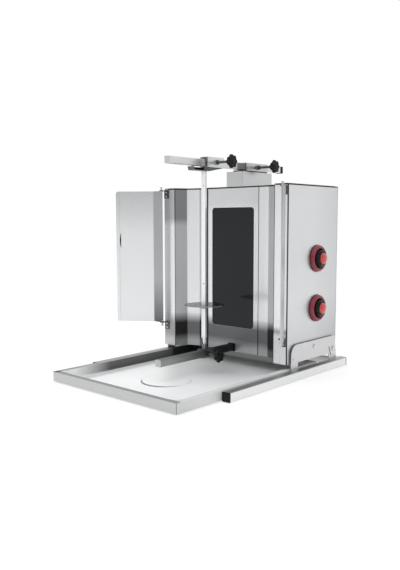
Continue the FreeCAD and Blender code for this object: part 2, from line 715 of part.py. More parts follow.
def heater_tray():
    half_w, half_h = heater_width() / 2, heater_height() / 2
    back = GLASS_BACK + HEATER_TRAY_DEPTH
    wall = HEATER_TRAY_SHEET
    low, high = GLASS_MIDDLE_Z - half_h, GLASS_MIDDLE_Z + half_h
    pan = block(-half_w, half_w, GLASS_BACK, back, low, high)
    hollow = block(-half_w + wall, half_w - wall, GLASS_BACK, back - wall, low + wall, high - wall)
    rim = HEATER_TRAY_MARGIN - 2
    lip = block(-half_w - rim, half_w + rim, GLASS_BACK, GLASS_BACK + wall, low - rim, high + rim)
    return cut(fuse([pan, lip]), [hollow] + tail_holes(back - wall, wall))


def tail_places():
    """Each heater's two tails, low one first: (x, z, way its run leads off)."""
    reach = ELEMENT_RUN_LENGTH / 2
    far = reach if ELEMENT_RUNS % 2 else -reach
    places = []
    for low, high in element_ends():
        places += [(-reach, low, 1), (far, high, -1 if far > 0 else 1)]
    return places


def tail_holes(start, depth):
    return [rod(at(x, start, z), Y_AXIS, ELEMENT_RADIUS + PLAY, depth) for x, z, way in tail_places()]


def bend_notches(start):
    """Room in the board's face for the bends between the runs and the tails."""
    half = ELEMENT_RADIUS + PLAY
    bend = 2 * ELEMENT_RADIUS
    notches = []
    for x, z, way in tail_places():
        near, far = sorted((x - way * half, x + way * bend))
        notches.append(block(near, far, start, start + bend, z - half, z + half))
    return notches


def insulation_board():
    half_w = heater_width() / 2 - HEATER_TRAY_SHEET
    half_h = heater_height() / 2 - HEATER_TRAY_SHEET
    back = GLASS_BACK + HEATER_TRAY_DEPTH - HEATER_TRAY_SHEET
    board = block(-half_w, half_w, back - BOARD_THICK, back, GLASS_MIDDLE_Z - half_h,
                  GLASS_MIDDLE_Z + half_h)
    return cut(board, tail_holes(back - BOARD_THICK, BOARD_THICK) + bend_notches(back - BOARD_THICK))


def heating_element(zone):
    """Sheathed element: level runs joined by half turns, with two tails back through the board."""
    low, high = element_ends()[zone]
    board_front = GLASS_BACK + HEATER_TRAY_DEPTH - HEATER_TRAY_SHEET - BOARD_THICK
    depth = board_front - ELEMENT_RADIUS
    reach = ELEMENT_RUN_LENGTH / 2
    bend = 2 * ELEMENT_RADIUS
    tail_end = GLASS_BACK + HEATER_TRAY_DEPTH + TERMINAL_LENGTH
    turn_reach = ELEMENT_PITCH / 2
    run_end = reach - bend
    diagonal = bend * (1 - math.sqrt(0.5))
    edges = [Part.LineSegment(at(-reach, tail_end, low), at(-reach, depth + bend, low)).toShape(),
             Part.Arc(at(-reach, depth + bend, low), at(-reach + diagonal, depth + diagonal, low),
                      at(-reach + bend, depth, low)).toShape()]
    way = 1
    for run in range(ELEMENT_RUNS):
        z = low + run * ELEMENT_PITCH
        edges.append(Part.LineSegment(at(-way * run_end, depth, z), at(way * run_end, depth, z)).toShape())
        if run < ELEMENT_RUNS - 1:
            edges.append(Part.Arc(at(way * run_end, depth, z),
                                  at(way * (run_end + turn_reach), depth, z + ELEMENT_PITCH / 2),
                                  at(way * run_end, depth, z + ELEMENT_PITCH)).toShape())
            way = -way
    bend_start = at(way * run_end, depth, high)
    bend_middle = at(way * (reach - diagonal), depth + diagonal, high)
    bend_end = at(way * reach, depth + bend, high)
    edges.append(Part.Arc(bend_start, bend_middle, bend_end).toShape())
    edges.append(Part.LineSegment(bend_end, at(way * reach, tail_end, high)).toShape())
    section = Part.Wire(Part.makeCircle(ELEMENT_RADIUS, at(-reach, tail_end, low), Y_AXIS))
    return Part.Wire(edges).makePipeShell([section], True, True)


def heater_straps():
    """Two bands across the heater tray, screwed to the glass frame's folded edges."""
    back = GLASS_BACK + HEATER_TRAY_DEPTH
    inner = SEAM_X - SHEET
    straps = []
    for side in (-1, 1):
        middle = GLASS_MIDDLE_Z + side * STRAP_OFFSET_Z
        straps.append(folded_sheet([(inner, RECESS_Y + 2 * SHEET + BEND), (inner, back + STRAP_SHEET),
                                    (-inner, back + STRAP_SHEET), (-inner, RECESS_Y + 2 * SHEET + BEND)],
                                   STRAP_SHEET, 1, middle - STRAP_BAND / 2, middle + STRAP_BAND / 2))
    return group(straps)


# ---------------------------------------------------------------- heat controls
def control_bezel(z):
    base = rod(at(PANEL_X, CONTROL_Y, z), X_AXIS, BEZEL_RADIUS, BEZEL_THICK)
    return base.cut(rod(at(PANEL_X, CONTROL_Y, z), X_AXIS, SHAFT_RADIUS + 1, BEZEL_THICK))


def control_ring(z):
    outer = BEZEL_RADIUS - 0.5
    profile = [(RING_BORE, 0), (outer, 0), (outer, RING_THICK * 0.3), (outer - RING_THICK, RING_THICK),
               (RING_BORE + 1.0, RING_THICK), (RING_BORE, RING_THICK - 1.0)]
    return revolved(profile, at(PANEL_X + BEZEL_THICK, CONTROL_Y, z), X_AXIS)


def control_knob(z):
    """Fluted grip that clears the bezel by the sliding gap."""
    start = PANEL_X + BEZEL_THICK + PLAY
    flute = KNOB_RADIUS * 0.28
    outline = lobed_outline(KNOB_RADIUS, KNOB_FLUTES, KNOB_RADIUS * 0.36, flute)
    grip = Part.Face(outline).extrude(at(0, 0, KNOB_HEIGHT))
    grip.Placement = frame_facing(X_AXIS, at(start, CONTROL_Y, z)).multiply(grip.Placement)
    taper = revolved([(0, 0), (KNOB_RADIUS, 0), (KNOB_RADIUS, KNOB_HEIGHT * 0.35),
                      (KNOB_RADIUS * 0.82, KNOB_HEIGHT), (0, KNOB_HEIGHT)], at(start, CONTROL_Y, z), X_AXIS)
    bore = rod(at(start, CONTROL_Y, z), X_AXIS, SHAFT_RADIUS, KNOB_HEIGHT * 0.7)
    return grip.common(taper).cut(bore)


def knob_cap(z):
    start = PANEL_X + BEZEL_THICK + PLAY + KNOB_HEIGHT
    profile = [(0, 0), (CAP_RADIUS, 0)]
    steps = 5
    for step in range(1, steps):
        angle = math.pi / 2 * step / steps
        profile.append((CAP_RADIUS * math.cos(angle), CAP_DOME * math.sin(angle)))
    profile.append((0, CAP_DOME))
    return revolved(profile, at(start, CONTROL_Y, z), X_AXIS)


def knob_shaft(z):
    start = PANEL_X - SHEET - REGULATOR_DEPTH * 0.6
    end = PANEL_X + BEZEL_THICK + PLAY + KNOB_HEIGHT * 0.7
    return rod(at(start, CONTROL_Y, z), X_AXIS, SHAFT_RADIUS, end - start)


def energy_regulator(z):
    """Switch block behind the panel, with four blade terminals and a bore for the knob's shaft."""
    face = PANEL_X - SHEET
    half_w, half_h = REGULATOR_WIDTH / 2, REGULATOR_HEIGHT / 2
    back = face - REGULATOR_DEPTH
    body = block(back, face, CONTROL_Y - half_w, CONTROL_Y + half_w, z - half_h, z + half_h)
    half_blade, half_thick = BLADE_WIDTH / 2, BLADE_THICK / 2
    blades = []
    for across, up in BLADE_PLACES:
        middle = CONTROL_Y + across
        blades.append(block(back - BLADE_LENGTH, back, middle - half_blade, middle + half_blade,
                            z + up - half_thick, z + up + half_thick))
    bore_start = face - REGULATOR_DEPTH * 0.6 - PLAY
    bore = rod(at(bore_start, CONTROL_Y, z), X_AXIS, SHAFT_RADIUS + RUNNING, face - bore_start)
    return cut(fuse([body] + blades), [bore])


def control_holes():
    return [rod(at(PANEL_X - 2 * SHEET, CONTROL_Y, z), X_AXIS, SHAFT_RADIUS + 1, 4 * SHEET)
            for z in (UPPER_CONTROL_Z, LOWER_CONTROL_Z)]


def terminal_block():
    floor = BODY_BOTTOM + SHEET
    left = GLAND_X - TERMINAL_BLOCK_WIDTH / 2
    rear = BODY_REAR - TERMINAL_BLOCK_INSET
    front = rear - TERMINAL_BLOCK_DEPTH
    top = floor + TERMINAL_BLOCK_HEIGHT
    base = block(left, left + TERMINAL_BLOCK_WIDTH, front, rear, floor, top)
    pitch = TERMINAL_BLOCK_WIDTH / TERMINAL_WAYS
    inset = (pitch - TERMINAL_WAY_WIDTH) / 2
    ways = []
    for way in range(TERMINAL_WAYS):
        near = left + way * pitch + inset
        ways.append(block(near, near + TERMINAL_WAY_WIDTH, front + 2 * inset, rear - 2 * inset, top,
                          top + TERMINAL_WAY_HEIGHT))
    return fuse([base] + ways)


def cable_gland():
    """Bored gland screwed through the rear panel, with a lock nut inside."""
    outer = at(GLAND_X, BODY_REAR, GLAND_Z)
    inner = at(GLAND_X, BODY_REAR - SHEET, GLAND_Z)
    hexed = hexagon(GLAND_HEX, GLAND_HEX_THICK, outer, Y_AXIS)
    draw, taper = GLAND_TAPER
    nose = revolved([(0, GLAND_HEX_THICK), (GLAND_THREAD, GLAND_HEX_THICK),
                     (GLAND_THREAD, GLAND_NOSE - taper), (GLAND_THREAD - draw, GLAND_NOSE),
                     (0, GLAND_NOSE)], outer, Y_AXIS)
    tail = at(GLAND_X, BODY_REAR - GLAND_TAIL, GLAND_Z)
    thread = rod(tail, Y_AXIS, GLAND_THREAD, GLAND_TAIL)
    nut = hexagon(GLAND_HEX, GLAND_NUT_THICK, inner, -Y_AXIS)
    bore = rod(tail, Y_AXIS, GLAND_BORE, GLAND_TAIL + GLAND_NOSE)
    return cut(fuse([hexed, nose, thread, nut]), [bore])


# ---------------------------------------------------------------- top arm and its clamp
def arm_support_box():
    half = SUPPORT_WIDTH / 2
    wall = SUPPORT_SHEET
    rear = SUPPORT_FRONT + SUPPORT_LENGTH
    shell = block(-half, half, SUPPORT_FRONT, rear, BODY_TOP, SUPPORT_TOP)
    upright = [edge for edge in shell.Edges if abs(edge.Vertexes[0].Z - edge.Vertexes[1].Z) > 1]
    shell = shell.makeFillet(2.0, upright)
    return shell.cut(block(-half + wall, half - wall, SUPPORT_FRONT + wall, rear - wall, BODY_TOP,
                           SUPPORT_TOP - wall))


def sleeve_spacer():
    half = SLEEVE_SIDE / 2
    return block(-half, half, SPACER_FRONT, SUPPORT_FRONT + SUPPORT_LENGTH, SUPPORT_TOP,
                 SUPPORT_TOP + SPACER_THICK)


def clamp_sleeve(side, start, length, y, face_x, z):
    """Square sleeve with a clearance hole for its clamp screw in the +X wall."""
    wall = (side - SLEEVE_BORE) / 2
    sleeve = square_tube(side, wall, length, start)
    return sleeve.cut(rod(at(face_x - 2 * wall, y, z), X_AXIS, SCREW_RADIUS + RUNNING, 3 * wall))


def closed_arm(front, rear, z):
    """Square tube with a plate welded over its front end."""
    tube = square_tube(ARM_SIDE, ARM_WALL, rear - front, at(0, front, z))
    frame = frame_facing(Y_AXIS, at(0, front, z))
    return tube.fuse(rounded_plate(ARM_SIDE, ARM_SIDE, TUBE_CORNER, ARM_WALL, frame)).removeSplitter()


def top_arm_cap():
    """Cap pushed over the arm's rear end."""
    side = ARM_SIDE + 2 * ARM_CAP_WALL
    shell = rounded_plate(side, side, TUBE_CORNER, ARM_CAP_LENGTH,
                          frame_facing(-Y_AXIS, at(0, TOP_ARM_REAR, TOP_ARM_Z)))
    inner = frame_facing(-Y_AXIS, at(0, TOP_ARM_REAR - ARM_CAP_WALL, TOP_ARM_Z))
    return shell.cut(rounded_plate(ARM_SIDE, ARM_SIDE, TUBE_CORNER, ARM_CAP_LENGTH, inner))


def weld_nut(face_x, y, z):
    start = at(face_x, y, z)
    return hexagon(NUT_FLATS, NUT_LENGTH, start, X_AXIS).cut(
        rod(start, X_AXIS, SCREW_RADIUS + RUNNING, NUT_LENGTH))


def clamp_screw(tip_x, star_x, y, z):
    return rod(at(tip_x, y, z), X_AXIS, SCREW_RADIUS, star_x + STAR_THICK / 2 - tip_x)


def star_knob(star_x, y, z):
    """Star grip with a tapered hub towards the clamp, bored for its screw."""
    frame = frame_facing(X_AXIS, at(star_x, y, z))
    outline = lobed_outline(STAR_RADIUS, STAR_LOBES, STAR_LOBE_RADIUS, STAR_NOTCH_RADIUS)
    star = Part.Face(outline).extrude(at(0, 0, STAR_THICK))
    star.Placement = frame.multiply(star.Placement)
    crown = revolved([(0, 0), (STAR_RADIUS - 1.5, 0), (STAR_RADIUS, 2), (STAR_RADIUS, STAR_THICK - 4),
                      (STAR_RADIUS - 5, STAR_THICK), (0, STAR_THICK)], at(star_x, y, z), X_AXIS)
    hub = revolved([(0, 0), (STAR_HUB_RADIUS - 1.5, 0), (STAR_HUB_RADIUS, STAR_HUB_LENGTH),
                    (0, STAR_HUB_LENGTH)], at(star_x - STAR_HUB_LENGTH, y, z), X_AXIS)
    bore = rod(at(star_x - STAR_HUB_LENGTH, y, z), X_AXIS, SCREW_RADIUS, STAR_HUB_LENGTH + STAR_THICK / 2)
    return fuse([star.common(crown), hub]).cut(bore)


# ---------------------------------------------------------------- upper carriage
def upper_carriage():
    middle = at((CARRIAGE_LEFT + CARRIAGE_RIGHT) / 2, CARRIAGE_FRONT, CARRIAGE_MIDDLE_Z)
    sleeve = square_tube(CARRIAGE_SIDE, CARRIAGE_WALL, CARRIAGE_LENGTH, middle)
    return sleeve.cut(rod(at(CARRIAGE_RIGHT - 2 * CARRIAGE_WALL, UPPER_SCREW_Y, CARRIAGE_MIDDLE_Z), X_AXIS,
                          SCREW_RADIUS + RUNNING, 3 * CARRIAGE_WALL))


def side_on(x, corners, width):
    """Plate of that width from x towards +X, drawn from the side: corners are (y, z)."""
    outline = Part.makePolygon([at(x, y, z) for y, z in corners + corners[:1]])
    return Part.Face(outline).extrude(at(width, 0, 0))


def skewer_channel():
    """Trough under the carriage that carries the upper bearing: floor, closed far side, turned-up
    front and a near side that tapers off to the rear."""
    half, wall = CHANNEL_HALF_WIDTH, CHANNEL_SHEET
    rear = CARRIAGE_FRONT + CARRIAGE_LENGTH
    floor, top = CHANNEL_FLOOR, CARRIAGE_BOTTOM
    toe = CHANNEL_FRONT + CHANNEL_RAKE
    bed_rear = SKEWER_Y + BEARING_LENGTH / 2
    near_front = SKEWER_Y - BEARING_LENGTH / 2
    far_side = side_on(-half, [(CHANNEL_FRONT, top), (toe, floor), (bed_rear, floor), (rear, top)], wall)
    near_side = side_on(half - wall, [(near_front, top), (near_front, floor), (bed_rear, floor),
                                      (rear, top)], wall)
    bed = block(-half, half, toe, bed_rear, floor, floor + wall)
    front = side_on(-half, [(CHANNEL_FRONT, top), (toe, floor), (toe + wall, floor),
                            (CHANNEL_FRONT + wall, top)], 2 * half)
    trough = fuse([far_side, near_side, bed, front])
    return trough.cut(rod(at(0, SKEWER_Y, floor), Z_AXIS, JOURNAL_RADIUS + RUNNING, wall))


def skewer_bearing():
    half = CHANNEL_HALF_WIDTH - CHANNEL_SHEET
    reach = BEARING_LENGTH / 2
    floor = CHANNEL_FLOOR + CHANNEL_SHEET
    body = block(-half, half, SKEWER_Y - reach, SKEWER_Y + reach, floor, CARRIAGE_BOTTOM)
    upright = [edge for edge in body.Edges if abs(edge.Vertexes[0].Z - edge.Vertexes[1].Z) > 1]
    body = body.makeChamfer(BEARING_CHAMFER, upright)
    return body.cut(rod(at(0, SKEWER_Y, floor), Z_AXIS, JOURNAL_RADIUS + RUNNING, CARRIAGE_BOTTOM - floor))


# ---------------------------------------------------------------- lower arm and carriage
def lower_arm_collar():
    frame = frame_facing(Y_AXIS, at(0, RECESS_Y - COLLAR_THICK, LOWER_ARM_Z))
    collar = rounded_plate(COLLAR_SIDE, COLLAR_SIDE, TUBE_CORNER, COLLAR_THICK, frame)
    return collar.cut(rounded_plate(ARM_SIDE, ARM_SIDE, TUBE_CORNER, COLLAR_THICK, frame))


def lower_arm_socket():
    """Clamp block that ties the arm's tail to the casing floor."""
    start = LOWER_ARM_REAR - SOCKET_LENGTH
    half = ARM_SIDE / 2
    floor = BODY_BOTTOM + SHEET
    wall = LOWER_ARM_Z - half - floor
    hat = block(-half - wall, half + wall, start, LOWER_ARM_REAR, floor, LOWER_ARM_Z + half + wall)
    foot = block(-half - wall - SOCKET_FOOT, half + wall + SOCKET_FOOT, start, LOWER_ARM_REAR, floor,
                 floor + wall)
    frame = frame_facing(Y_AXIS, at(0, start, LOWER_ARM_Z))
    return cut(fuse([hat, foot]), [rounded_plate(ARM_SIDE, ARM_SIDE, TUBE_CORNER, SOCKET_LENGTH, frame)])


def tip_radius_at(z):
    share = (z - TIP_SEAT_Z) / (SKEWER_FOOT_Z - TIP_SEAT_Z)
    return TIP_RADIUS + (TIP_SHOULDER - TIP_RADIUS) * share


def seat_cup():
    """Cup with a cone that follows the skewer's point."""
    base = LOWER_ARM_Z + SLEEVE_SIDE / 2
    rim = base + CUP_HEIGHT
    deep = TIP_SEAT_Z - PLAY
    profile = [(0, base), (CUP_RADIUS, base), (CUP_RADIUS, rim), (tip_radius_at(rim) + PLAY, rim),
               (tip_radius_at(TIP_SEAT_Z) + PLAY, deep), (0, deep)]
    return revolved(profile, at(0, SKEWER_Y, 0), Z_AXIS)


# ---------------------------------------------------------------- skewer and meat plate
def skewer_pin_z():
    return PLATE_Z - HUB_LENGTH - PIN_RADIUS


def skewer():
    shoulder = CHANNEL_FLOOR - PLAY
    half = SKEWER_SIDE / 2
    bar = block(-half, half, -half, half, SKEWER_FOOT_Z, shoulder)
    heights = (skewer_pin_z(),) + SPARE_HOLES_Z
    holes = [rod(at(0, -half, z), Y_AXIS, PIN_RADIUS, SKEWER_SIDE) for z in heights]
    bar = bar.cut(holes)
    tip = revolved([(0, TIP_SEAT_Z), (TIP_RADIUS, TIP_SEAT_Z), (TIP_SHOULDER, SKEWER_FOOT_Z),
                    (0, SKEWER_FOOT_Z)], ORIGIN, Z_AXIS)
    journal = rod(at(0, 0, shoulder), Z_AXIS, JOURNAL_RADIUS, JOURNAL_LENGTH)
    whole = fuse([bar, tip, journal])
    whole.rotate(ORIGIN, Z_AXIS, SKEWER_TURN)
    whole.translate(at(0, SKEWER_Y, 0))
    return whole


def plate_pin():
    pin = rod(at(0, -PIN_LENGTH / 2, skewer_pin_z()), Y_AXIS, PIN_RADIUS, PIN_LENGTH)
    pin.rotate(ORIGIN, Z_AXIS, SKEWER_TURN)
    pin.translate(at(0, SKEWER_Y, 0))
    return pin


def meat_plate():
    disc = rod(at(0, 0, PLATE_Z), Z_AXIS, PLATE_RADIUS, PLATE_THICK)
    hub = rod(at(0, 0, PLATE_Z - HUB_LENGTH), Z_AXIS, HUB_RADIUS, HUB_LENGTH)
    half = SKEWER_SIDE / 2 + PLAY
    hole = block(-half, half, -half, half, PLATE_Z - HUB_LENGTH, PLATE_Z + PLATE_THICK)
    plate = cut(fuse([disc, hub]), [hole])
    plate.rotate(ORIGIN, Z_AXIS, SKEWER_TURN)
    plate.translate(at(0, SKEWER_Y, 0))
    return plate


# ---------------------------------------------------------------- wind guards
def guard_closed():
    """Right guard shut across the front, with its hinge axis at the origin of the plan."""
    fold = math.radians(GUARD_FOLD)
    bend_x = -GUARD_FLANGE * math.cos(fold)
    bend_y = -GUARD_FLANGE * math.sin(fold)
    near = (-EAR_RADIUS * math.cos(fold), -EAR_RADIUS * math.sin(fold))
    edge_x = bend_x - GUARD_PANEL
    sheet = folded_sheet([near, (bend_x, bend_y), (edge_x, bend_y)], SHEET, -1,
                         GUARD_BOTTOM, GUARD_TOP)
    hem = block(edge_x, edge_x + GUARD_HEM, bend_y + SHEET, bend_y + 2 * SHEET, GUARD_BOTTOM, GUARD_TOP)
    corners = []
    for z, way in ((GUARD_BOTTOM, 1), (GUARD_TOP, -1)):
        centre_z = z + way * GUARD_CORNER
        square = block(edge_x, edge_x + GUARD_CORNER, bend_y - 1, bend_y + 3 * SHEET, min(z, centre_z),
                       max(z, centre_z))
        corners.append(square.cut(rod(at(edge_x + GUARD_CORNER, bend_y - 2, centre_z), Y_AXIS, GUARD_CORNER,
                                      3 * SHEET + 4)))
    panel = fuse([sheet, hem]).cut(corners)
    ears = [guard_ear(GUARD_BOTTOM), guard_ear(GUARD_TOP - EAR_THICK)]
    bores = [rod(at(0, 0, z), Z_AXIS, HINGE_PIN_RADIUS + RUNNING, EAR_THICK)
             for z in (GUARD_BOTTOM, GUARD_TOP - EAR_THICK)]
    return cut(fuse([panel] + ears), bores)


def guard_ear(z):
    """Tab folded from the flange, round about the hinge pin."""
    eye = rod(at(0, 0, z), Z_AXIS, EAR_RADIUS, EAR_THICK)
    tab = block(-EAR_RADIUS - 9, 0, 0, EAR_RADIUS, z, z + EAR_THICK)
    tab.rotate(at(0, 0, z), Z_AXIS, GUARD_FOLD)
    return eye.fuse(tab)


def pull_slot():
    """Crescent finger slot near the free edge of the closed right guard."""
    fold = math.radians(GUARD_FOLD)
    near_x = -GUARD_FLANGE * math.cos(fold) - GUARD_PANEL + PULL_INSET
    start_y = -GUARD_FLANGE * math.sin(fold) - SHEET
    low = at(near_x + PULL_WIDTH, start_y, PULL_Z - PULL_HEIGHT / 2)
    high = at(near_x + PULL_WIDTH, start_y, PULL_Z + PULL_HEIGHT / 2)
    arc = Part.Arc(low, at(near_x, start_y, PULL_Z), high)
    chord = Part.LineSegment(high, low)
    return Part.Face(Part.Wire([arc.toShape(), chord.toShape()])).extrude(at(0, 4 * SHEET, 0))


def hung_right(shape):
    placed = turned(shape, ORIGIN, Z_AXIS, RIGHT_GUARD_OPEN)
    placed.translate(at(PIVOT_X, PIVOT_Y, 0))
    return placed


def hung_left(shape):
    placed = turned(shape, ORIGIN, Z_AXIS, LEFT_GUARD_OPEN)
    placed.translate(at(PIVOT_X, PIVOT_Y, 0))
    return mirrored(placed)


def hinge_brackets_right():
    """Two lugs, below and above the guard, each on a plate riveted to the post."""
    lugs = []
    for lug_z in (GUARD_BOTTOM - PLAY - LUG_THICK, GUARD_TOP + PLAY):
        eye = rod(at(PIVOT_X, PIVOT_Y, lug_z), Z_AXIS, EAR_RADIUS, LUG_THICK)
        tab = Part.Face(Part.makePolygon([at(PIVOT_X - EAR_RADIUS, PIVOT_Y, lug_z),
                                          at(PIVOT_X + EAR_RADIUS, PIVOT_Y, lug_z),
                                          at(HALF_BODY, BODY_FRONT, lug_z),
                                          at(PIVOT_X - EAR_RADIUS, BODY_FRONT, lug_z),
                                          at(PIVOT_X - EAR_RADIUS, PIVOT_Y, lug_z)]))
        tab = tab.extrude(at(0, 0, LUG_THICK))
        high = lug_z + LUG_THICK
        plate = block(HALF_BODY - LUG_PLATE_WIDTH, HALF_BODY, BODY_FRONT - LUG_PLATE_THICK, BODY_FRONT,
                      high - LUG_PLATE_HEIGHT, high)
        bore = rod(at(PIVOT_X, PIVOT_Y, lug_z), Z_AXIS, HINGE_PIN_RADIUS, LUG_THICK)
        lugs.append(cut(fuse([eye, tab, plate]), [bore]))
    return group(lugs)


def hinge_pins_right():
    pins = []
    for face, way in ((GUARD_BOTTOM - PLAY - LUG_THICK, -1), (GUARD_TOP + PLAY + LUG_THICK, 1)):
        shank_in = LUG_THICK + PLAY + EAR_THICK + 3
        axis = Z_AXIS * way
        start = at(PIVOT_X, PIVOT_Y, face - way * shank_in)
        shank = rod(start, axis, HINGE_PIN_RADIUS, shank_in + HINGE_PIN_STAND)
        collar = rod(at(PIVOT_X, PIVOT_Y, face), axis, HINGE_HEAD_RADIUS, HINGE_HEAD_THICK / 2)
        head = rod(at(PIVOT_X, PIVOT_Y, face + way * HINGE_PIN_STAND), axis, HINGE_HEAD_RADIUS,
                   HINGE_HEAD_THICK)
        pins.append(fuse([shank, collar, head]))
    return group(pins)


def hinge_rivets_right():
    face = BODY_FRONT - LUG_PLATE_THICK
    low_plate = GUARD_BOTTOM - PLAY - LUG_PLATE_HEIGHT / 2
    high_plate = GUARD_TOP + PLAY + LUG_THICK - LUG_PLATE_HEIGHT / 2
    rivets = []
    for z in (low_plate, high_plate):
        for way in (-1, 1):
            centre = at(HALF_BODY - LUG_PLATE_WIDTH / 2, face, z + way * LUG_PLATE_HEIGHT / 4)
            rivets.append(revolved([(0, 0), (RIVET_RADIUS, 0), (RIVET_RADIUS * 0.75, RIVET_RADIUS * 0.5),
                                    (0, RIVET_RADIUS * 0.6)], centre, -Y_AXIS))
    return group(rivets)


# ---------------------------------------------------------------- all nodes
def both_sides(right):
    return group([right, mirrored(right)])


rear_sleeve = clamp_sleeve(SLEEVE_SIDE, at(0, SLEEVE_FRONT, TOP_ARM_Z), SLEEVE_LENGTH, REAR_SCREW_Y,
                           SLEEVE_SIDE / 2, TOP_ARM_Z)
lower_sleeve = clamp_sleeve(SLEEVE_SIDE, at(0, SKEWER_Y - LOWER_SLEEVE_LENGTH / 2, LOWER_ARM_Z),
                            LOWER_SLEEVE_LENGTH, SKEWER_Y, SLEEVE_SIDE / 2, LOWER_ARM_Z)
screw_tip = ARM_SIDE / 2 + PLAY
guard = cut(guard_closed(), [pull_slot()])

nodes = {
    "rail_left": rail(-1),
    "rail_right": rail(1),
    "rail_end_caps": rail_end_caps(),
    "cross_straps": cross_straps(),
    "rear_cross_tube": rear_cross_tube(),
    "drip_tray": drip_tray(),
    "side_bracket_left": mirrored(bracket_right()),
    "side_bracket_right": bracket_right(),
    "bracket_bolts": bracket_bolts(),
    "bracket_spacers": bracket_spacers(),
    "side_panel_left": side_panel(-1, []),
    "side_panel_right": side_panel(1, control_holes()),
    "reflector_left": mirrored(reflector_right()),
    "reflector_right": reflector_right(),
    "glass_frame_panel": glass_frame_panel(),
    "top_cover": top_cover(),
    "bottom_plate": bottom_plate(),
    "rear_panel": rear_panel(),
    "ceramic_glass": ceramic_glass(),
    "glass_gasket": glass_gasket(),
    "heater_tray": heater_tray(),
    "insulation_board": insulation_board(),
    "heating_element_lower": heating_element(0),
    "heating_element_upper": heating_element(1),
    "heater_straps": heater_straps(),
    "control_bezels": group([control_bezel(UPPER_CONTROL_Z), control_bezel(LOWER_CONTROL_Z)]),
    "bezel_rings": group([control_ring(UPPER_CONTROL_Z), control_ring(LOWER_CONTROL_Z)]),
    "control_knob_upper": control_knob(UPPER_CONTROL_Z),
    "control_knob_lower": control_knob(LOWER_CONTROL_Z),
    "knob_cap_upper": knob_cap(UPPER_CONTROL_Z),
    "knob_cap_lower": knob_cap(LOWER_CONTROL_Z),
    "knob_shaft_upper": knob_shaft(UPPER_CONTROL_Z),
    "knob_shaft_lower": knob_shaft(LOWER_CONTROL_Z),
    "energy_regulators": group([energy_regulator(UPPER_CONTROL_Z), energy_regulator(LOWER_CONTROL_Z)]),
    "terminal_block": terminal_block(),
    "cable_gland": cable_gland(),
    "arm_support_box": arm_support_box(),
    "sleeve_spacer": sleeve_spacer(),
    "rear_clamp_sleeve": fuse([rear_sleeve, weld_nut(SLEEVE_SIDE / 2, REAR_SCREW_Y, TOP_ARM_Z)]),
    "rear_clamp_screw": clamp_screw(screw_tip, REAR_STAR_X, REAR_SCREW_Y, TOP_ARM_Z),
    "rear_star_knob": star_knob(REAR_STAR_X, REAR_SCREW_Y, TOP_ARM_Z),
    "top_arm": closed_arm(TOP_ARM_FRONT, TOP_ARM_REAR - ARM_CAP_WALL, TOP_ARM_Z),
    "top_arm_cap": top_arm_cap(),
    "upper_carriage": fuse([upper_carriage(), weld_nut(CARRIAGE_RIGHT, UPPER_SCREW_Y, CARRIAGE_MIDDLE_Z)]),
    "skewer_channel": skewer_channel(),
    "skewer_bearing": skewer_bearing(),
    "upper_clamp_screw": clamp_screw(screw_tip, UPPER_STAR_X, UPPER_SCREW_Y, CARRIAGE_MIDDLE_Z),
    "upper_star_knob": star_knob(UPPER_STAR_X, UPPER_SCREW_Y, CARRIAGE_MIDDLE_Z),
    "lower_arm": closed_arm(LOWER_ARM_FRONT, LOWER_ARM_REAR, LOWER_ARM_Z),
    "lower_arm_collar": lower_arm_collar(),
    "lower_arm_socket": lower_arm_socket(),
    "lower_carriage": fuse([lower_sleeve, weld_nut(SLEEVE_SIDE / 2, SKEWER_Y, LOWER_ARM_Z), seat_cup()]),
    "lower_clamp_screw": clamp_screw(screw_tip, LOWER_STAR_X, SKEWER_Y, LOWER_ARM_Z),
    "lower_star_knob": star_knob(LOWER_STAR_X, SKEWER_Y, LOWER_ARM_Z),
    "skewer": fuse([skewer(), plate_pin()]),
    "meat_plate": meat_plate(),
    "guard_left": hung_left(guard),
    "guard_right": hung_right(guard),
    "guard_hinge_lugs": both_sides(hinge_brackets_right()),
    "guard_hinge_pins": both_sides(group([hinge_pins_right(), hinge_rivets_right()])),
}

for name, shape in nodes.items():
    shape.exportStep(f"parts/{name}.step")
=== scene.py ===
import json
import math

import bmesh
import bpy
from mathutils import Matrix, Vector


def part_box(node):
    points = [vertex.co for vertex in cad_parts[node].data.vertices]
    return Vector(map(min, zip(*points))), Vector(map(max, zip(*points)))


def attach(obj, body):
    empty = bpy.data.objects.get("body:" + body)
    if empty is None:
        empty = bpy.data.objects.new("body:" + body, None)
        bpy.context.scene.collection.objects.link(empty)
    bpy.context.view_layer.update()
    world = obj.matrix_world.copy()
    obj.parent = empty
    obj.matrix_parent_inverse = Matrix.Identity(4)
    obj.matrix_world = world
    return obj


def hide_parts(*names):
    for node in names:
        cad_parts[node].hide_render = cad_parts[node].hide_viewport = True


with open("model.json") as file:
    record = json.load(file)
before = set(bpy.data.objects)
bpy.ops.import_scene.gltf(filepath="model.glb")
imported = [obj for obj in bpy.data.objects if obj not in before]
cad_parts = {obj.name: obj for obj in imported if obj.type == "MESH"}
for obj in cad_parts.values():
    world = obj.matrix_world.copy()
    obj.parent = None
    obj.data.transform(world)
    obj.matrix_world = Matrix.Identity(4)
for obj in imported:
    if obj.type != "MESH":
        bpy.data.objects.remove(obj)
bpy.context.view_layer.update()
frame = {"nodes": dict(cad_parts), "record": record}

MM = 0.001
X, Y, Z = Vector((1, 0, 0)), Vector((0, 1, 0)), Vector((0, 0, 1))
ALONG_X, ALONG_Y, ALONG_Z = range(3)
SIDES = ("left", "right")
ZONES = ("upper", "lower")
CLAMPS = ("rear", "upper", "lower")
record = frame["record"]
slot_of = {part["node"]: part["material_slot"] for part in record["subparts"]}
body_with = {node: body for body, nodes in record["behaviour"]["bodies"].items() for node in nodes}


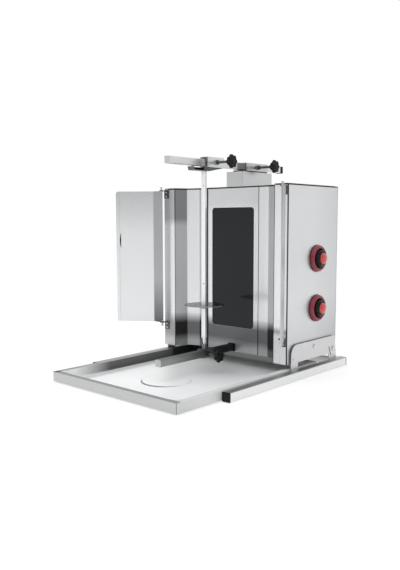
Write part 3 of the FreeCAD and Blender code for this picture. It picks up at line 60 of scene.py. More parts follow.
def box_mm(node):
    """The low and high corner of a node's box, in mm."""
    return [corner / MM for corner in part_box(node)]


# ---------------------------------------------------------------- node writing
class Reading:
    """One output of a node. Sums written on it add Math nodes."""

    def __init__(self, tree, socket):
        self.tree = tree
        self.socket = socket

    def also(self, name):
        return Reading(self.tree, self.socket.node.outputs[name])

    def sum(self, operation, first, second=0.0):
        return self.tree.node("ShaderNodeMath", {"operation": operation}, {0: first, 1: second})

    def __add__(self, other):
        return self.sum("ADD", self, other)

    def __radd__(self, other):
        return self.sum("ADD", other, self)

    def __sub__(self, other):
        return self.sum("SUBTRACT", self, other)

    def __rsub__(self, other):
        return self.sum("SUBTRACT", other, self)

    def __mul__(self, other):
        return self.sum("MULTIPLY", self, other)

    def __rmul__(self, other):
        return self.sum("MULTIPLY", other, self)

    def __truediv__(self, other):
        return self.sum("DIVIDE", self, other)

    def __lt__(self, other):
        return self.sum("LESS_THAN", self, other)

    def __gt__(self, other):
        return self.sum("GREATER_THAN", self, other)

    def __pow__(self, other):
        return self.sum("POWER", self, other)

    def __abs__(self):
        return self.sum("ABSOLUTE", self)

    def capped(self):
        return self.sum("MINIMUM", self.sum("MAXIMUM", self, 0.0), 1.0)


class Tree:
    """A node tree, written one node at a time."""

    def __init__(self, tree):
        self.tree = tree
        tree.nodes.clear()

    def node(self, kind, settings=None, sockets=None, result=0):
        made = self.tree.nodes.new(kind)
        for name, value in (settings or {}).items():
            if name == "stops":
                self.set_stops(made.color_ramp, value)
            else:
                setattr(made, name, value)
        for name, value in (sockets or {}).items():
            if isinstance(value, Reading):
                self.tree.links.new(value.socket, made.inputs[name])
            else:
                made.inputs[name].default_value = value
        return Reading(self, made.outputs[result]) if made.outputs else made

    @staticmethod
    def set_stops(ramp, stops):
        ramp.interpolation = "EASE"
        while len(ramp.elements) < len(stops):
            ramp.elements.new(0.5)
        for element, (place, shade) in zip(ramp.elements, stops):
            element.position = place
        for element, (place, shade) in zip(ramp.elements, stops):
            element.color = (shade, shade, shade, 1)

    def blend(self, share, first, second, way="MIX"):
        """The first colour where share is 0, the second where it is 1."""
        colours = {socket: (*colour, 1) if isinstance(colour, tuple) else colour
                   for socket, colour in ((6, first), (7, second))}
        return self.node("ShaderNodeMix", {"data_type": "RGBA", "blend_type": way}, {0: share, **colours}, result=2)


class Finish(Tree):
    """A material. Patterns are laid in the object's own coordinates."""

    def __init__(self, name):
        self.material = bpy.data.materials.new(name)
        self.material.use_nodes = True
        super().__init__(self.material.node_tree)
        self.place = self.node("ShaderNodeTexCoord", result="Object")
        self.x = self.node("ShaderNodeSeparateXYZ", {}, {0: self.place})
        self.y, self.z = self.x.also("Y"), self.x.also("Z")

    def noise(self, scale, detail=3.0, roughness=0.55, distortion=0.0):
        """Noise with one scale a metre, or one for each axis."""
        scales = scale if isinstance(scale, (tuple, list)) else (scale,) * 3
        laid = self.node("ShaderNodeMapping", {}, {"Vector": self.place, "Scale": scales})
        return self.node("ShaderNodeTexNoise", {}, {"Vector": laid, "Scale": 1.0, "Detail": detail,
                                                    "Roughness": roughness, "Distortion": distortion})

    def rise(self, reading, start, end):
        """0 up to the start, 1 past the end, both in mm."""
        return ((reading - start * MM) / ((end - start) * MM)).capped()

    def past(self, reading, place, soft=1.0):
        """0 before a place and 1 beyond it, in mm, with a soft edge."""
        return self.rise(reading, place - soft, place + soft)

    def between(self, reading, start, end, soft=1.0):
        """1 from the start to the end and 0 beyond, in mm, with soft edges."""
        return self.past(reading, start, soft) * (1.0 - self.past(reading, end, soft))

    def line(self, reading, at, half_width):
        """1 along a line, falling to 0 at its edges, in mm."""
        return (1.0 - abs(reading - at * MM) / (half_width * MM)).capped()

    def bump(self, height, strength, distance):
        return self.node("ShaderNodeBump", {}, {"Height": height, "Strength": strength, "Distance": distance})

    def surface(self, **sockets):
        named = {name.replace("_", " "): value for name, value in sockets.items()}
        shell = self.node("ShaderNodeBsdfPrincipled", {}, named)
        self.node("ShaderNodeOutputMaterial", {}, {"Surface": shell})
        return self.material


# ---------------------------------------------------------------- finishes
# how strong the rolled lines, the haze and the relief of the grain are
ROLLED_GRAIN = (0.06, 0.04, 0.05)
COVER_GRAIN = (0.05, 0.04, 0.04)
CROSS_GRAIN = (0.05, 0.04, 0.03)
TRAY_GRAIN = (0.04, 0.05, 0.02)
MIRROR_GRAIN = (0.04, 0.03, 0.02)
SHEET_GRAIN = (0.03, 0.03, 0.02)
TUBE_GRAIN = (0.03, 0.03, 0.015)
SKEWER_GRAIN = (0.03, 0.02, 0.01)
# the colour of dark joints and of painted shade
JOINT_AND_SHADE_DARK = (0.03, 0.03, 0.032)
DRIVE_ARM, DRIVE_REACH = 0.13, 0.56      # half width and reach of a screw's cross, as shares of its head


def shaded(tone, share):
    return tuple(min(1.0, share * shade) for shade in tone)


def brushed_steel(name, tone, rough, along, grain=ROLLED_GRAIN, marks=None, bright=1.0):
    """Stainless sheet with a rolled grain along one axis, faint haze and wiped marks.
    marks takes the finish and gives where joints are dark and where shade is painted.
    bright is the share that mirrors: the rest is a satin white."""
    finish = Finish(name)
    lines, haze, relief = grain
    fine = [1500.0, 1500.0, 1500.0]
    fine[along] = 9.0
    coarse = [170.0, 170.0, 170.0]
    coarse[along] = 1.6
    hair = finish.noise(fine, 2.0, 0.6)
    streak = finish.noise(coarse, 4.0, 0.6)
    cloud = finish.noise(5.5, 3.0, 0.5, 0.3)
    wiped = finish.noise([14.0, 22.0, 9.0], 4.0, 0.62, 1.2)
    rolled = hair * 0.4 + streak * 0.6
    colour = finish.blend((rolled * 0.55 + cloud * 0.45).capped(), shaded(tone, 0.94), shaded(tone, 1.04))
    roughness = rough + (rolled - 0.5) * lines + (cloud - 0.5) * haze + (wiped - 0.5) * 0.04
    if marks is not None:
        # painted shade and dark joints: the colour goes darker there, and rougher
        shadow = marks(finish)
        colour = finish.blend(shadow, colour, JOINT_AND_SHADE_DARK)
        roughness = roughness + shadow * 0.3
    return finish.surface(Base_Color=colour, Roughness=roughness.capped(), Metallic=bright,
                          Normal=finish.bump(rolled, relief, 0.0003))


def plated_steel(name, tone, rough):
    """Bright plating on small parts, a little orange-peel and dulled in patches."""
    finish = Finish(name)
    patches = finish.noise(60.0, 4.0, 0.6)
    fine = finish.noise(900.0, 2.0, 0.5)
    colour = finish.blend(patches, shaded(tone, 0.82), tone)
    roughness = rough + (patches - 0.5) * 0.16 + (fine - 0.5) * 0.05
    return finish.surface(Base_Color=colour, Roughness=roughness.capped(), Metallic=1.0,
                          Normal=finish.bump(fine, 0.06, 0.0002))


def moulded_plastic(name, colour, rough, grain=0.12, coat=0.0, shine=0.5):
    """Moulded plastic with a fine spark-eroded grain and slight fading."""
    finish = Finish(name)
    spark = finish.noise(2600.0, 2.0, 0.6)
    fade = finish.noise(38.0, 3.0, 0.5)
    tone = finish.blend(fade, shaded(colour, 0.82), shaded(colour, 1.18))
    roughness = rough + (spark - 0.5) * 0.10 + (fade - 0.5) * 0.10
    return finish.surface(Base_Color=tone, Roughness=roughness.capped(), Normal=finish.bump(spark, grain, 0.00025),
                          Specular_IOR_Level=shine, Coat_Weight=coat, Coat_Roughness=0.08)


def black_glass():
    """Glass ceramic: deep black with a faint body haze and nearly no texture."""
    finish = Finish("glass_ceramic_black")
    haze = finish.noise(3.5, 2.0, 0.5)
    wiped = finish.noise([9.0, 30.0, 5.0], 4.0, 0.6, 0.8)
    colour = finish.blend(haze, (0.006, 0.007, 0.009), (0.011, 0.013, 0.016))
    return finish.surface(Base_Color=colour, Roughness=0.07 + wiped * 0.05, Specular_IOR_Level=0.26,
                          Normal=finish.bump(haze, 0.02, 0.002))


def fibre(name, colour):
    """Pressed mineral fibre, matt, with strands of two shades."""
    finish = Finish(name)
    strands = finish.noise(1400.0, 5.0, 0.7, 0.6)
    tone = finish.blend(strands, shaded(colour, 0.7), colour)
    return finish.surface(Base_Color=tone, Roughness=0.95, Normal=finish.bump(strands, 0.5, 0.0006))


def heated_steel():
    """Heater sheath: oxidised, with straw and blue tempering."""
    finish = Finish("heater_sheath")
    temper = finish.noise(22.0, 3.0, 0.5)
    tone = finish.blend(temper, (0.20, 0.17, 0.15), (0.34, 0.27, 0.19))
    return finish.surface(Base_Color=tone, Roughness=0.48 + temper * 0.15, Metallic=1.0,
                          Normal=finish.bump(temper, 0.1, 0.0005))


def screw_steel():
    """Cross-head screws: the recess follows each head's own coordinates."""
    finish = Finish("cross_head_screws")
    on_head = finish.node("ShaderNodeAttribute", {"attribute_name": "on_head"}, {}, "Vector")
    flat = finish.node("ShaderNodeSeparateXYZ", {}, {0: on_head})
    across, up = abs(flat), abs(flat.also("Y"))
    reach = (flat * flat + flat.also("Y") * flat.also("Y")) ** 0.5
    cross = ((across < DRIVE_ARM) + (up < DRIVE_ARM)).capped() * (reach < DRIVE_REACH)
    patches = finish.noise(220.0, 3.0, 0.6)
    # the cross recess is painted dark as its shade, with a bump for its depth
    tone = finish.blend(cross, (0.62, 0.62, 0.63), (0.10, 0.10, 0.10))
    return finish.surface(Base_Color=tone, Roughness=(0.24 + patches * 0.14 + cross * 0.25).capped(), Metallic=1.0,
                          Normal=finish.bump(1.0 - cross, 0.8, 0.0004))


# ---------------------------------------------------------------- painted shade and dark joints, in mm
casing_low, casing_high = box_mm("top_cover")
tray_low, tray_high = box_mm("drip_tray")
seam_x = box_mm("glass_frame_panel")[1].x
rail_top = box_mm("rail_right")[1].z
sleeve_front = box_mm("rear_clamp_sleeve")[0].y
carriage_front = box_mm("upper_carriage")[0].y
arm_front = box_mm("lower_arm")[0].y
LINE = 1.3                               # half width of a joint's dark line, and of a fold's painted shade
POST_WIDTH = 45.5                        # flat post at the casing's front corner
FOLD_X = casing_high.x - POST_WIDTH
WING_START, WING_END, WING_MIDDLE = 112.0, 135.0, 176.0
FLANGE_END = 260.5                       # where an open guard's hinge flange ends
SLEEVE_FACE_X, CARRIAGE_FACE_X = 12.5, 17.7
TRAY_RIM, RIM_CREASE = 15.0, 223.0
BOSS_Y, BOSS_RADIUS = -238.5, 69.0
BRACKET_SLIT = ((212.0, 66.0), (224.0, 38.0))
# where a painted shade starts and ends, but for HINGE_FOOT
COVER_GAP = (casing_high.z - 5.4, casing_high.z - 4.2)
COVER_EDGE = (casing_high.z - 1.3, casing_high.z - 0.4)
HINGE_FOOT = (135, 13)                   # its middle and half its height
SIDE_FOOT, SIDE_REAR = (60, 230), (130, 261)
LOW_SHADE_TOP, LOW_SHADE_FOOT = (118, 152), (60, 84)
WING_HEAD, PANEL_HEAD = (430, 454), (470, 500)
FLANGE_FOOT, GUARD_HEAD = (118, 260), (400, 540)
GUARD_GRIP_X, GUARD_GRIP_Z = (355.0, 356.5), (300, 400)
TRAY_SKIN = (tray_high.z - 0.9, tray_high.z - 0.4)
WALL_SHADE_Y = (tray_low.y + 60, tray_low.y + 190)
WALL_BAND = (tray_low.x + 4, tray_low.x + 23)
FOOT_BAND = (tray_low.x + 24, tray_low.x + 58)
FOOT_SHADE_Y = (tray_low.y + 20, tray_low.y + 60)
TRAY_FRONT = (tray_low.y + 20, -300)
GROOVE_LIT_SIDE = (-40, 70)
UNDER_CASING, UNDER_LEFT = (10, 70), (-170, -110)
ARM_SHADE_REAR, ARM_SHADE_BY_CARRIAGE = (-235, -110), (-62, -42)


def under_cover(finish):
    """The shadow gap under the cover's edge."""
    return finish.rise(finish.z, *COVER_GAP)


def casing_joints_and_shade(finish):
    """Painted shade: the shadow gap under the cover, the corner where front and side meet, and the side darker low
    down and towards the rear.
    """
    corner = finish.line(abs(finish.x), casing_high.x, 3.0) * (finish.y < (casing_low.y + 5.0) * MM)
    # painted shade: the side darker low down and towards the rear
    foot = (1.0 - finish.rise(finish.z, *SIDE_FOOT)) * 0.32
    rear = finish.rise(finish.y, *SIDE_REAR) * 0.12
    return (under_cover(finish) + corner + foot + rear).capped()


def cover_edge_shade(finish):
    """Painted shade on the cover's edges below its skin."""
    return (1.0 - finish.rise(finish.z, *COVER_EDGE)) * 0.9


def reflector_seams_and_shade(finish):
    """The dark seams beside the glass panel, and painted shade in the folds of the wings, the corners,
    the gap under the cover, a band low down, the wings' facets, the right post's foot and the panel's head."""
    x, z = finish.x, finish.z
    wide, left = abs(x), x * -1.0
    off_posts = 1.0 - finish.past(wide, FOLD_X)
    left_post, right_post = finish.past(left, FOLD_X), finish.past(x, FOLD_X)
    seams = finish.line(left, seam_x + 4.0, 4.0) * 3.0 + finish.line(x, seam_x, 1.9) * 1.2
    # painted shade in the folds and in the corners
    folds = finish.line(wide, FOLD_X, LINE) * 0.75 + finish.line(x, FOLD_X + 1.0, 2.4)
    corners = finish.line(wide, casing_high.x, 2.2)
    # painted shade in a band low down, less on the posts
    low_shade = (1.0 - finish.rise(z, *LOW_SHADE_TOP)) * (0.80 - (1.0 - finish.rise(z, *LOW_SHADE_FOOT)) * 0.36)
    low_band_shade = low_shade * (off_posts + left_post * 0.7 + right_post * 0.15)
    # painted shade on the wings' facets, at the right post's foot and at the panel's head
    left_wing = (finish.between(left, WING_MIDDLE, FOLD_X) * 0.22
                 + finish.between(left, WING_START, WING_END) * 0.34)
    left_head = finish.rise(z, *WING_HEAD) * finish.past(left, WING_MIDDLE) * 0.40
    right_wing = finish.between(x, WING_END, WING_MIDDLE) * 0.38
    hinge_foot = finish.line(z, *HINGE_FOOT) * right_post * 0.5
    panel_head = finish.rise(z, *PANEL_HEAD) * (1.0 - finish.past(wide, seam_x)) * 0.14
    return (under_cover(finish) + seams + folds + corners + low_band_shade + left_wing + left_head + right_wing
            + hinge_foot + panel_head).capped()


def guard_painted_shade(finish):
    """Painted shade on the flange, most at its foot, on the right panel and on the heads. The left guard is also
    darker at its far edge.
    """
    x, z = finish.x, finish.z
    panel = finish.past(abs(x), FLANGE_END)
    # painted shade on the flange, the right guard's panel and the heads
    flange = (1.0 - panel) * (0.42 + (1.0 - finish.rise(z, *FLANGE_FOOT)) * 0.40)
    right_panel = finish.rise(x, FLANGE_END + 1, FLANGE_END + 4) * 0.30
    head = panel * finish.rise(z, *GUARD_HEAD) * 0.20
    left_edge_dark = finish.rise(x * -1.0, *GUARD_GRIP_X) * finish.rise(z, *GUARD_GRIP_Z) * 0.45
    return (flange + right_panel + head + left_edge_dark).capped()


def tray_corners_and_shade(finish):
    """The folded corners of the skirt, and painted shade: on the pan's left wall and at its foot,
    under the casing, in the groove round the boss, on the rim, on the skirt and at the front."""
    x, y, z = finish.x, finish.y, finish.z
    on_rim = finish.rise(z, *TRAY_SKIN)
    below_rim = 1.0 - on_rim
    corner = finish.line(abs(x), tray_high.x, LINE) * finish.line(y, tray_low.y, LINE) * below_rim
    # painted shade on the pan's left wall and on the floor at its foot
    wall = finish.between(x, *WALL_BAND, 2.0) * finish.rise(y, *WALL_SHADE_Y) * below_rim * 0.88
    foot_of_wall = finish.between(x, *FOOT_BAND, 9.0) * finish.rise(y, *FOOT_SHADE_Y) * below_rim * 0.30
    # painted shade in the groove round the boss, fainter on its back right
    from_boss = y - BOSS_Y * MM
    reach = (x * x + from_boss * from_boss) ** 0.5
    groove = finish.line(reach, BOSS_RADIUS, 3.0) * (1.0 - finish.rise(x + from_boss, *GROOVE_LIT_SIDE) * 0.75)
    # painted shade on the rim, the skirt, under the casing and at the front
    front_rim = 1.0 - finish.rise(y, tray_low.y + TRAY_RIM, tray_low.y + TRAY_RIM + 2)
    rim = on_rim * (0.25 + front_rim * 0.40 + finish.rise(x * -1.0, RIM_CREASE, RIM_CREASE + 3) * 0.45)
    outer = (finish.rise(abs(x), tray_high.x - 0.6, tray_high.x - 0.2)
             + 1.0 - finish.rise(y, tray_low.y + 0.2, tray_low.y + 0.6)).capped()
    skirt = outer * below_rim * 0.34
    under_casing = finish.rise(y, *UNDER_CASING) * (1.0 - finish.rise(x, *UNDER_LEFT) * 0.75) * 0.7
    front = (1.0 - finish.rise(y, *TRAY_FRONT)) * 0.10
    return (corner + wall + foot_of_wall + groove + rim + skirt + under_casing + front).capped()


def rail_top_shade(finish):
    """Painted shade: the rails' tops darker than their sides."""
    return finish.rise(finish.z, rail_top - 1.2, rail_top - 0.5) * 0.46


def lower_arm_shade(finish):
    """Painted shade: the lower arm darker but for its front end, and darker towards the rear."""
    behind_end = finish.rise(finish.y, arm_front + 0.5, arm_front + 1.2) * 0.42
    return (behind_end + finish.rise(finish.y, *ARM_SHADE_REAR) * 0.3 + finish.rise(finish.y, *ARM_SHADE_BY_CARRIAGE) * 0.25).capped()


def bracket_slit_shade(finish):
    """Painted shade of the slit across the rear leg."""
    (top_y, top_z), (foot_y, foot_z) = BRACKET_SLIT
    lean = (foot_y - top_y) / (top_z - foot_z)
    return (finish.line(finish.y + finish.z * lean, top_y + top_z * lean + 1.0, 2.6) * 2.0
            * finish.between(finish.z, foot_z, top_z)).capped()


def nut_shades(face_x):
    """The nut welded on a clamp's side, at face_x, is black from the torch."""
    return lambda finish: finish.rise(finish.x, face_x + 0.3, face_x + 0.8) * 0.85


def top_arm_shade(finish):
    """Painted shade on the arm in front of the sleeve, and a painted dark reflection in front of the carriage."""
    return (finish.between(finish.y, sleeve_front - 42, sleeve_front + 20, 3.0) * 0.72
            + finish.line(finish.y, carriage_front - 26, 22) * 0.45).capped()


SHEET_TONE = (0.785, 0.80, 0.81)
casing_steel = brushed_steel("casing_steel", SHEET_TONE, 0.30, ALONG_Z, SHEET_GRAIN, casing_joints_and_shade, bright=0.8)
cover_steel = brushed_steel("cover_steel", SHEET_TONE, 0.30, ALONG_X, COVER_GRAIN, cover_edge_shade)
# the bottom plate's steel is painted near black: painted shade under the casing
underside_steel_shade = brushed_steel("underside_steel_shade", (0.10, 0.10, 0.10), 0.45, ALONG_X)
mirror_steel = brushed_steel("reflector_steel", (0.825, 0.84, 0.85), 0.25, ALONG_Z, MIRROR_GRAIN,
                             reflector_seams_and_shade, bright=0.75)
guard_steel = brushed_steel("guard_steel", (0.81, 0.825, 0.835), 0.22, ALONG_Z, MIRROR_GRAIN, guard_painted_shade,
                            bright=0.9)
tray_steel = brushed_steel("tray_steel", (0.88, 0.89, 0.895), 0.32, ALONG_X, TRAY_GRAIN, tray_corners_and_shade, bright=0.12)
rail_steel = brushed_steel("rail_steel", (0.76, 0.765, 0.77), 0.28, ALONG_Y, TUBE_GRAIN, rail_top_shade, bright=0.9)
carriage_steel = brushed_steel("carriage_steel", (0.78, 0.785, 0.79), 0.28, ALONG_Y, TUBE_GRAIN,
                               nut_shades(CARRIAGE_FACE_X), bright=0.85)
sleeve_steel = brushed_steel("sleeve_steel", (0.66, 0.665, 0.67), 0.28, ALONG_Y, TUBE_GRAIN,
                             nut_shades(SLEEVE_FACE_X))
# the lower carriage's steel is given a dark tone: painted shade
tube_steel_shade = brushed_steel("lower_carriage_steel", (0.24, 0.245, 0.25), 0.28, ALONG_Y, TUBE_GRAIN,
                                nut_shades(SLEEVE_FACE_X))
top_arm_steel = brushed_steel("top_arm_steel", (0.80, 0.805, 0.81), 0.28, ALONG_Y, TUBE_GRAIN, top_arm_shade,
                              bright=0.9)
box_steel = brushed_steel("support_box_steel", (0.72, 0.725, 0.73), 0.30, ALONG_Z, SHEET_GRAIN)
cross_steel = brushed_steel("cross_tube_steel", (0.70, 0.70, 0.71), 0.32, ALONG_X, CROSS_GRAIN)
bracket_steel = brushed_steel("bracket_steel", (0.62, 0.62, 0.63), 0.30, ALONG_Y, SHEET_GRAIN, bracket_slit_shade,
                              bright=0.9)
arm_steel = brushed_steel("lower_arm_steel", (0.68, 0.685, 0.69), 0.28, ALONG_Y, TUBE_GRAIN, lower_arm_shade)
skewer_steel = brushed_steel("skewer_steel", (0.97, 0.97, 0.975), 0.24, ALONG_Z, SKEWER_GRAIN, bright=0.5)
plate_steel = plated_steel("meat_plate_steel", (0.34, 0.34, 0.35), 0.20)
bolt_steel = plated_steel("bolt_steel", (0.78, 0.78, 0.78), 0.18)
zinc_steel = plated_steel("zinc_steel", (0.66, 0.66, 0.65), 0.34)
screw_dark = plated_steel("blackened_screw_steel", (0.16, 0.16, 0.16), 0.30)
# the skewer channel's plating is given a dark tone: painted shade in its hollow
channel_steel = plated_steel("channel_steel", (0.16, 0.165, 0.17), 0.30)
bronze = plated_steel("bearing_bronze", (0.10, 0.095, 0.085), 0.34)
lug_steel = plated_steel("hinge_lug_steel", (0.13, 0.13, 0.135), 0.26)
black_plastic = moulded_plastic("black_plastic", (0.008, 0.009, 0.010), 0.42, grain=0.08, shine=0.16)
grip_plastic = moulded_plastic("grip_plastic", (0.006, 0.007, 0.008), 0.24, grain=0.04, shine=0.20)
ring_red = moulded_plastic("ring_red", (0.20, 0.020, 0.036), 0.30, grain=0.03, coat=0.25, shine=0.4)
cap_red = moulded_plastic("cap_red", (0.44, 0.032, 0.026), 0.14, grain=0.02, coat=0.7)
ceramic_white = moulded_plastic("steatite", (0.72, 0.70, 0.64), 0.35, grain=0.06)
glass_finish = black_glass()
gasket_fibre = fibre("gasket_fibre", (0.62, 0.60, 0.56))
board_fibre = fibre("board_fibre", (0.78, 0.75, 0.68))
sheath_steel = heated_steel()
screw_finish = screw_steel()

# nodes that stay as they are, with their finish
kept_nodes = {
    "heater_tray": zinc_steel, "insulation_board": board_fibre, "heating_element_lower": sheath_steel,
    "heating_element_upper": sheath_steel, "heater_straps": zinc_steel, "knob_shaft_upper": zinc_steel,
    "knob_shaft_lower": zinc_steel, "energy_regulators": black_plastic, "terminal_block": ceramic_white,
    "glass_gasket": gasket_fibre,
}
# node: (finish, width of its eased edges in mm)
eased_nodes = {
    "rail_left": (rail_steel, 0.5), "rail_right": (rail_steel, 0.5), "rail_end_caps": (black_plastic, 0.6),
    "cross_straps": (cross_steel, 0.4), "rear_cross_tube": (cross_steel, 0.5), "drip_tray": (tray_steel, 0.5),
    "side_bracket_left": (bracket_steel, 0.4), "side_bracket_right": (bracket_steel, 0.4),
    "bracket_bolts": (bolt_steel, 0.4), "bracket_spacers": (zinc_steel, 0.3),
    "side_panel_left": (casing_steel, 0.25), "side_panel_right": (casing_steel, 0.25),
    "reflector_left": (mirror_steel, 0.25), "reflector_right": (mirror_steel, 0.25),
    "glass_frame_panel": (mirror_steel, 0.25), "top_cover": (cover_steel, 0.35),
    "bottom_plate": (underside_steel_shade, 0.3), "rear_panel": (casing_steel, 0.3), "ceramic_glass": (glass_finish, 0.5),
    "cable_gland": (black_plastic, 0.5), "arm_support_box": (box_steel, 0.6), "sleeve_spacer": (black_plastic, 0.3),
    "rear_clamp_sleeve": (sleeve_steel, 0.4), "top_arm": (top_arm_steel, 0.4), "top_arm_cap": (black_plastic, 0.6),
    "upper_carriage": (carriage_steel, 0.5), "skewer_channel": (channel_steel, 0.3), "skewer_bearing": (bronze, 0.3),
    "lower_arm": (arm_steel, 0.4), "lower_arm_collar": (black_plastic, 0.5), "lower_arm_socket": (screw_dark, 0.4),
    "lower_carriage": (tube_steel_shade, 0.5), "skewer": (skewer_steel, 0.5), "meat_plate": (plate_steel, 0.2),
    "guard_left": (guard_steel, 0.3), "guard_right": (guard_steel, 0.3), "guard_hinge_lugs": (lug_steel, 0.3),
    "guard_hinge_pins": (bolt_steel, 0.4),
}


# ---------------------------------------------------------------- making pieces
# corners sharper than this stay sharp
MOULDED_ANGLE, FASTENER_ANGLE = math.radians(38.0), math.radians(50.0)


def placed(name, data):
    """A new object at the origin of the scene."""
    holder = bpy.data.objects.new(name, data)
    bpy.context.scene.collection.objects.link(holder)
    return holder


def painted(mesh, finish):
    mesh.materials.clear()
    mesh.materials.append(finish)
    return mesh


def add_piece(name, mesh, body):
    """A piece of its own that rides on a body."""
    piece = placed(name, mesh)
    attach(piece, body)


def take_place(name, mesh, node):
    """A piece that stands where a node stands."""
    piece = placed(name, mesh)
    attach(piece, body_with[node])
    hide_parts(node)


def settled(holder):
    """The holder's mesh with its modifiers worked in. The holder goes."""
    mesh = bpy.data.meshes.new_from_object(holder.evaluated_get(bpy.context.evaluated_depsgraph_get()))
    bpy.data.objects.remove(holder)
    return mesh


def closed_mesh(name, form):
    """The form as a mesh whose faces point outwards."""
    bmesh.ops.recalc_face_normals(form, faces=form.faces)
    mesh = bpy.data.meshes.new(name)
    form.to_mesh(mesh)
    form.free()
    return mesh


def smoothed(mesh):
    """Smooth all over, but for the sharp corners of a moulding."""
    mesh.polygons.foreach_set("use_smooth", [True] * len(mesh.polygons))
    mesh.set_sharp_from_angle(angle=MOULDED_ANGLE)
    return mesh


def skin(form, near, far):
    """Faces between two closed rows of corners."""
    for corner in range(len(near)):
        after = (corner + 1) % len(near)
        form.faces.new((near[corner], near[after], far[after], far[corner]))


# ---------------------------------------------------------------- sheets, tubes and castings
MERGE_REACH = 0.000002
FLAT_ANGLE, EDGE_ANGLE = math.radians(0.6), math.radians(40.0)
# node: (how deep its front part is, how much further in that part sits), in mm
SET_IN = {"skewer_channel": (10.0, 23.0)}


def eased_copy(node, finish, width):
    """The node's own solid with its sharp edges rounded, as deburred sheet and tube are."""
    form = bmesh.new()
    form.from_mesh(frame["nodes"][node].data)
    if node in SET_IN:
        depth, further = SET_IN[node]
        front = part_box(node)[0].y
        for corner in form.verts:
            if corner.co.y < front + depth * MM:
                corner.co.y += further * MM
    bmesh.ops.remove_doubles(form, verts=form.verts, dist=MERGE_REACH)
    bmesh.ops.dissolve_limit(form, angle_limit=FLAT_ANGLE, verts=form.verts, edges=form.edges)
    start = bpy.data.meshes.new(node + "_start")
    form.to_mesh(start)
    form.free()
    if "custom_normal" in start.attributes:
        start.attributes.remove(start.attributes["custom_normal"])
    start.polygons.foreach_set("use_smooth", [True] * len(start.polygons))
    holder = placed(node + "_start", start)
    ease = holder.modifiers.new("ease", "BEVEL")
    ease.width = width * MM
    ease.segments = 2
    ease.limit_method = "ANGLE"
    ease.angle_limit = EDGE_ANGLE
    ease.use_clamp_overlap = True
    ease.harden_normals = True
    take_place(node + "_finished", painted(settled(holder), finish), node)


for node, finish in kept_nodes.items():
    for slot in frame["nodes"][node].material_slots:
        slot.material = finish

for node, (finish, width) in eased_nodes.items():
    eased_copy(node, finish, width)


# ---------------------------------------------------------------- knobs, caps, rings and dials
# rings of a turned form, outwards: (distance, radius, depth of the hollows between its lobes), in mm
STAR_RINGS = [
    (0.0, 5.4, 0), (0.2, 6.0, 0), (0.9, 6.6, 0), (8.6, 8.0, 0), (10.0, 9.2, 0.02), (10.9, 11.4, 0.06),
    (11.3, 14.8, 0.12), (12.1, 17.8, 0.16), (13.3, 19.4, 0.175), (14.8, 19.95, 0.18), (19.2, 19.95, 0.18),
    (20.8, 19.4, 0.175), (22.0, 17.9, 0.16), (22.7, 15.6, 0.12), (22.9, 13.2, 0.06), (22.5, 11.2, 0.01),
    (21.7, 10.2, 0), (21.4, 9.2, 0), (21.5, 8.0, 0), (22.2, 7.4, 0), (22.8, 6.6, 0), (23.0, 4.0, 0),
]
GRIP_RINGS = [
    (0.0, 26.6, 0.03), (0.3, 27.2, 0.04), (1.2, 27.5, 0.05), (4.5, 27.4, 0.08), (8.5, 27.0, 0.10),
    (12.0, 26.2, 0.11), (14.2, 24.8, 0.10), (15.6, 22.8, 0.08), (16.2, 20.0, 0.04), (16.3, 17.4, 0),
    (15.7, 17.0, 0), (15.7, 12.0, 0),
]
CAP_RINGS = [
    (-4.0, 12.0, 0), (-4.0, 16.6, 0), (-2.8, 16.8, 0), (-1.4, 16.6, 0), (0.0, 15.8, 0), (1.4, 14.2, 0),
    (2.6, 11.8, 0), (3.5, 8.4, 0), (4.1, 4.4, 0), (4.25, 1.6, 0),
]
# closed sections of the red ring and the black dial behind it: (distance, radius), in mm
RING_SECTION = [
    (-3.4, 28.2), (4.6, 28.2), (6.2, 29.0), (7.2, 30.4), (7.5, 32.0), (7.0, 34.2), (5.4, 36.4), (3.0, 38.0),
    (0.6, 38.8), (-3.4, 39.0),
]
DIAL_SECTION = [
    (0.0, 6.5), (0.0, 40.0), (1.5, 40.0), (2.1, 39.6), (2.1, 28.1), (5.5, 27.0), (5.5, 6.5),
]
STAR_LOBES, GRIP_LOBES, ROUND = 7, 6, 1
STAR_STEPS, GRIP_STEPS, CAP_STEPS, RING_STEPS = 140, 120, 72, 96
HOLLOW_POWER = 1.25                      # how narrow the hollows are


def round_axis(start, along, radius, angle):
    """A point round an axis along +X, by its distance and radius in mm."""
    return start + MM * Vector((along, radius * math.cos(angle), radius * math.sin(angle)))


def axis_start(turned, seat=None):
    """Where a turned node's axis meets its own inner end, or the inner end of the seat.
    A star knob's own box is uneven, so its axis is its screw's."""
    low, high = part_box(turned)
    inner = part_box(seat)[0].x if seat else low.x
    return Vector((inner, (low.y + high.y) / 2, (low.z + high.z) / 2))


def lobed_mesh(name, rings, lobes, start, steps):
    """A turned form along +X, with lobes round it."""
    form = bmesh.new()
    rows = []
    for distance, radius, depth in rings:
        row = []
        for step in range(steps):
            angle = 2 * math.pi * step / steps
            hollow = depth * (0.5 - 0.5 * math.cos(lobes * angle)) ** HOLLOW_POWER
            row.append(form.verts.new(round_axis(start, distance, radius * (1 - hollow), angle)))
        rows.append(row)
    for near, far in zip(rows, rows[1:]):
        skin(form, near, far)
    for row, distance in ((rows[0], rings[0][0]), (rows[-1], rings[-1][0])):
        pole = form.verts.new(start + Vector((distance * MM, 0, 0)))
        for step in range(steps):
            form.faces.new((row[step], row[(step + 1) % steps], pole))
    return smoothed(closed_mesh(name, form))


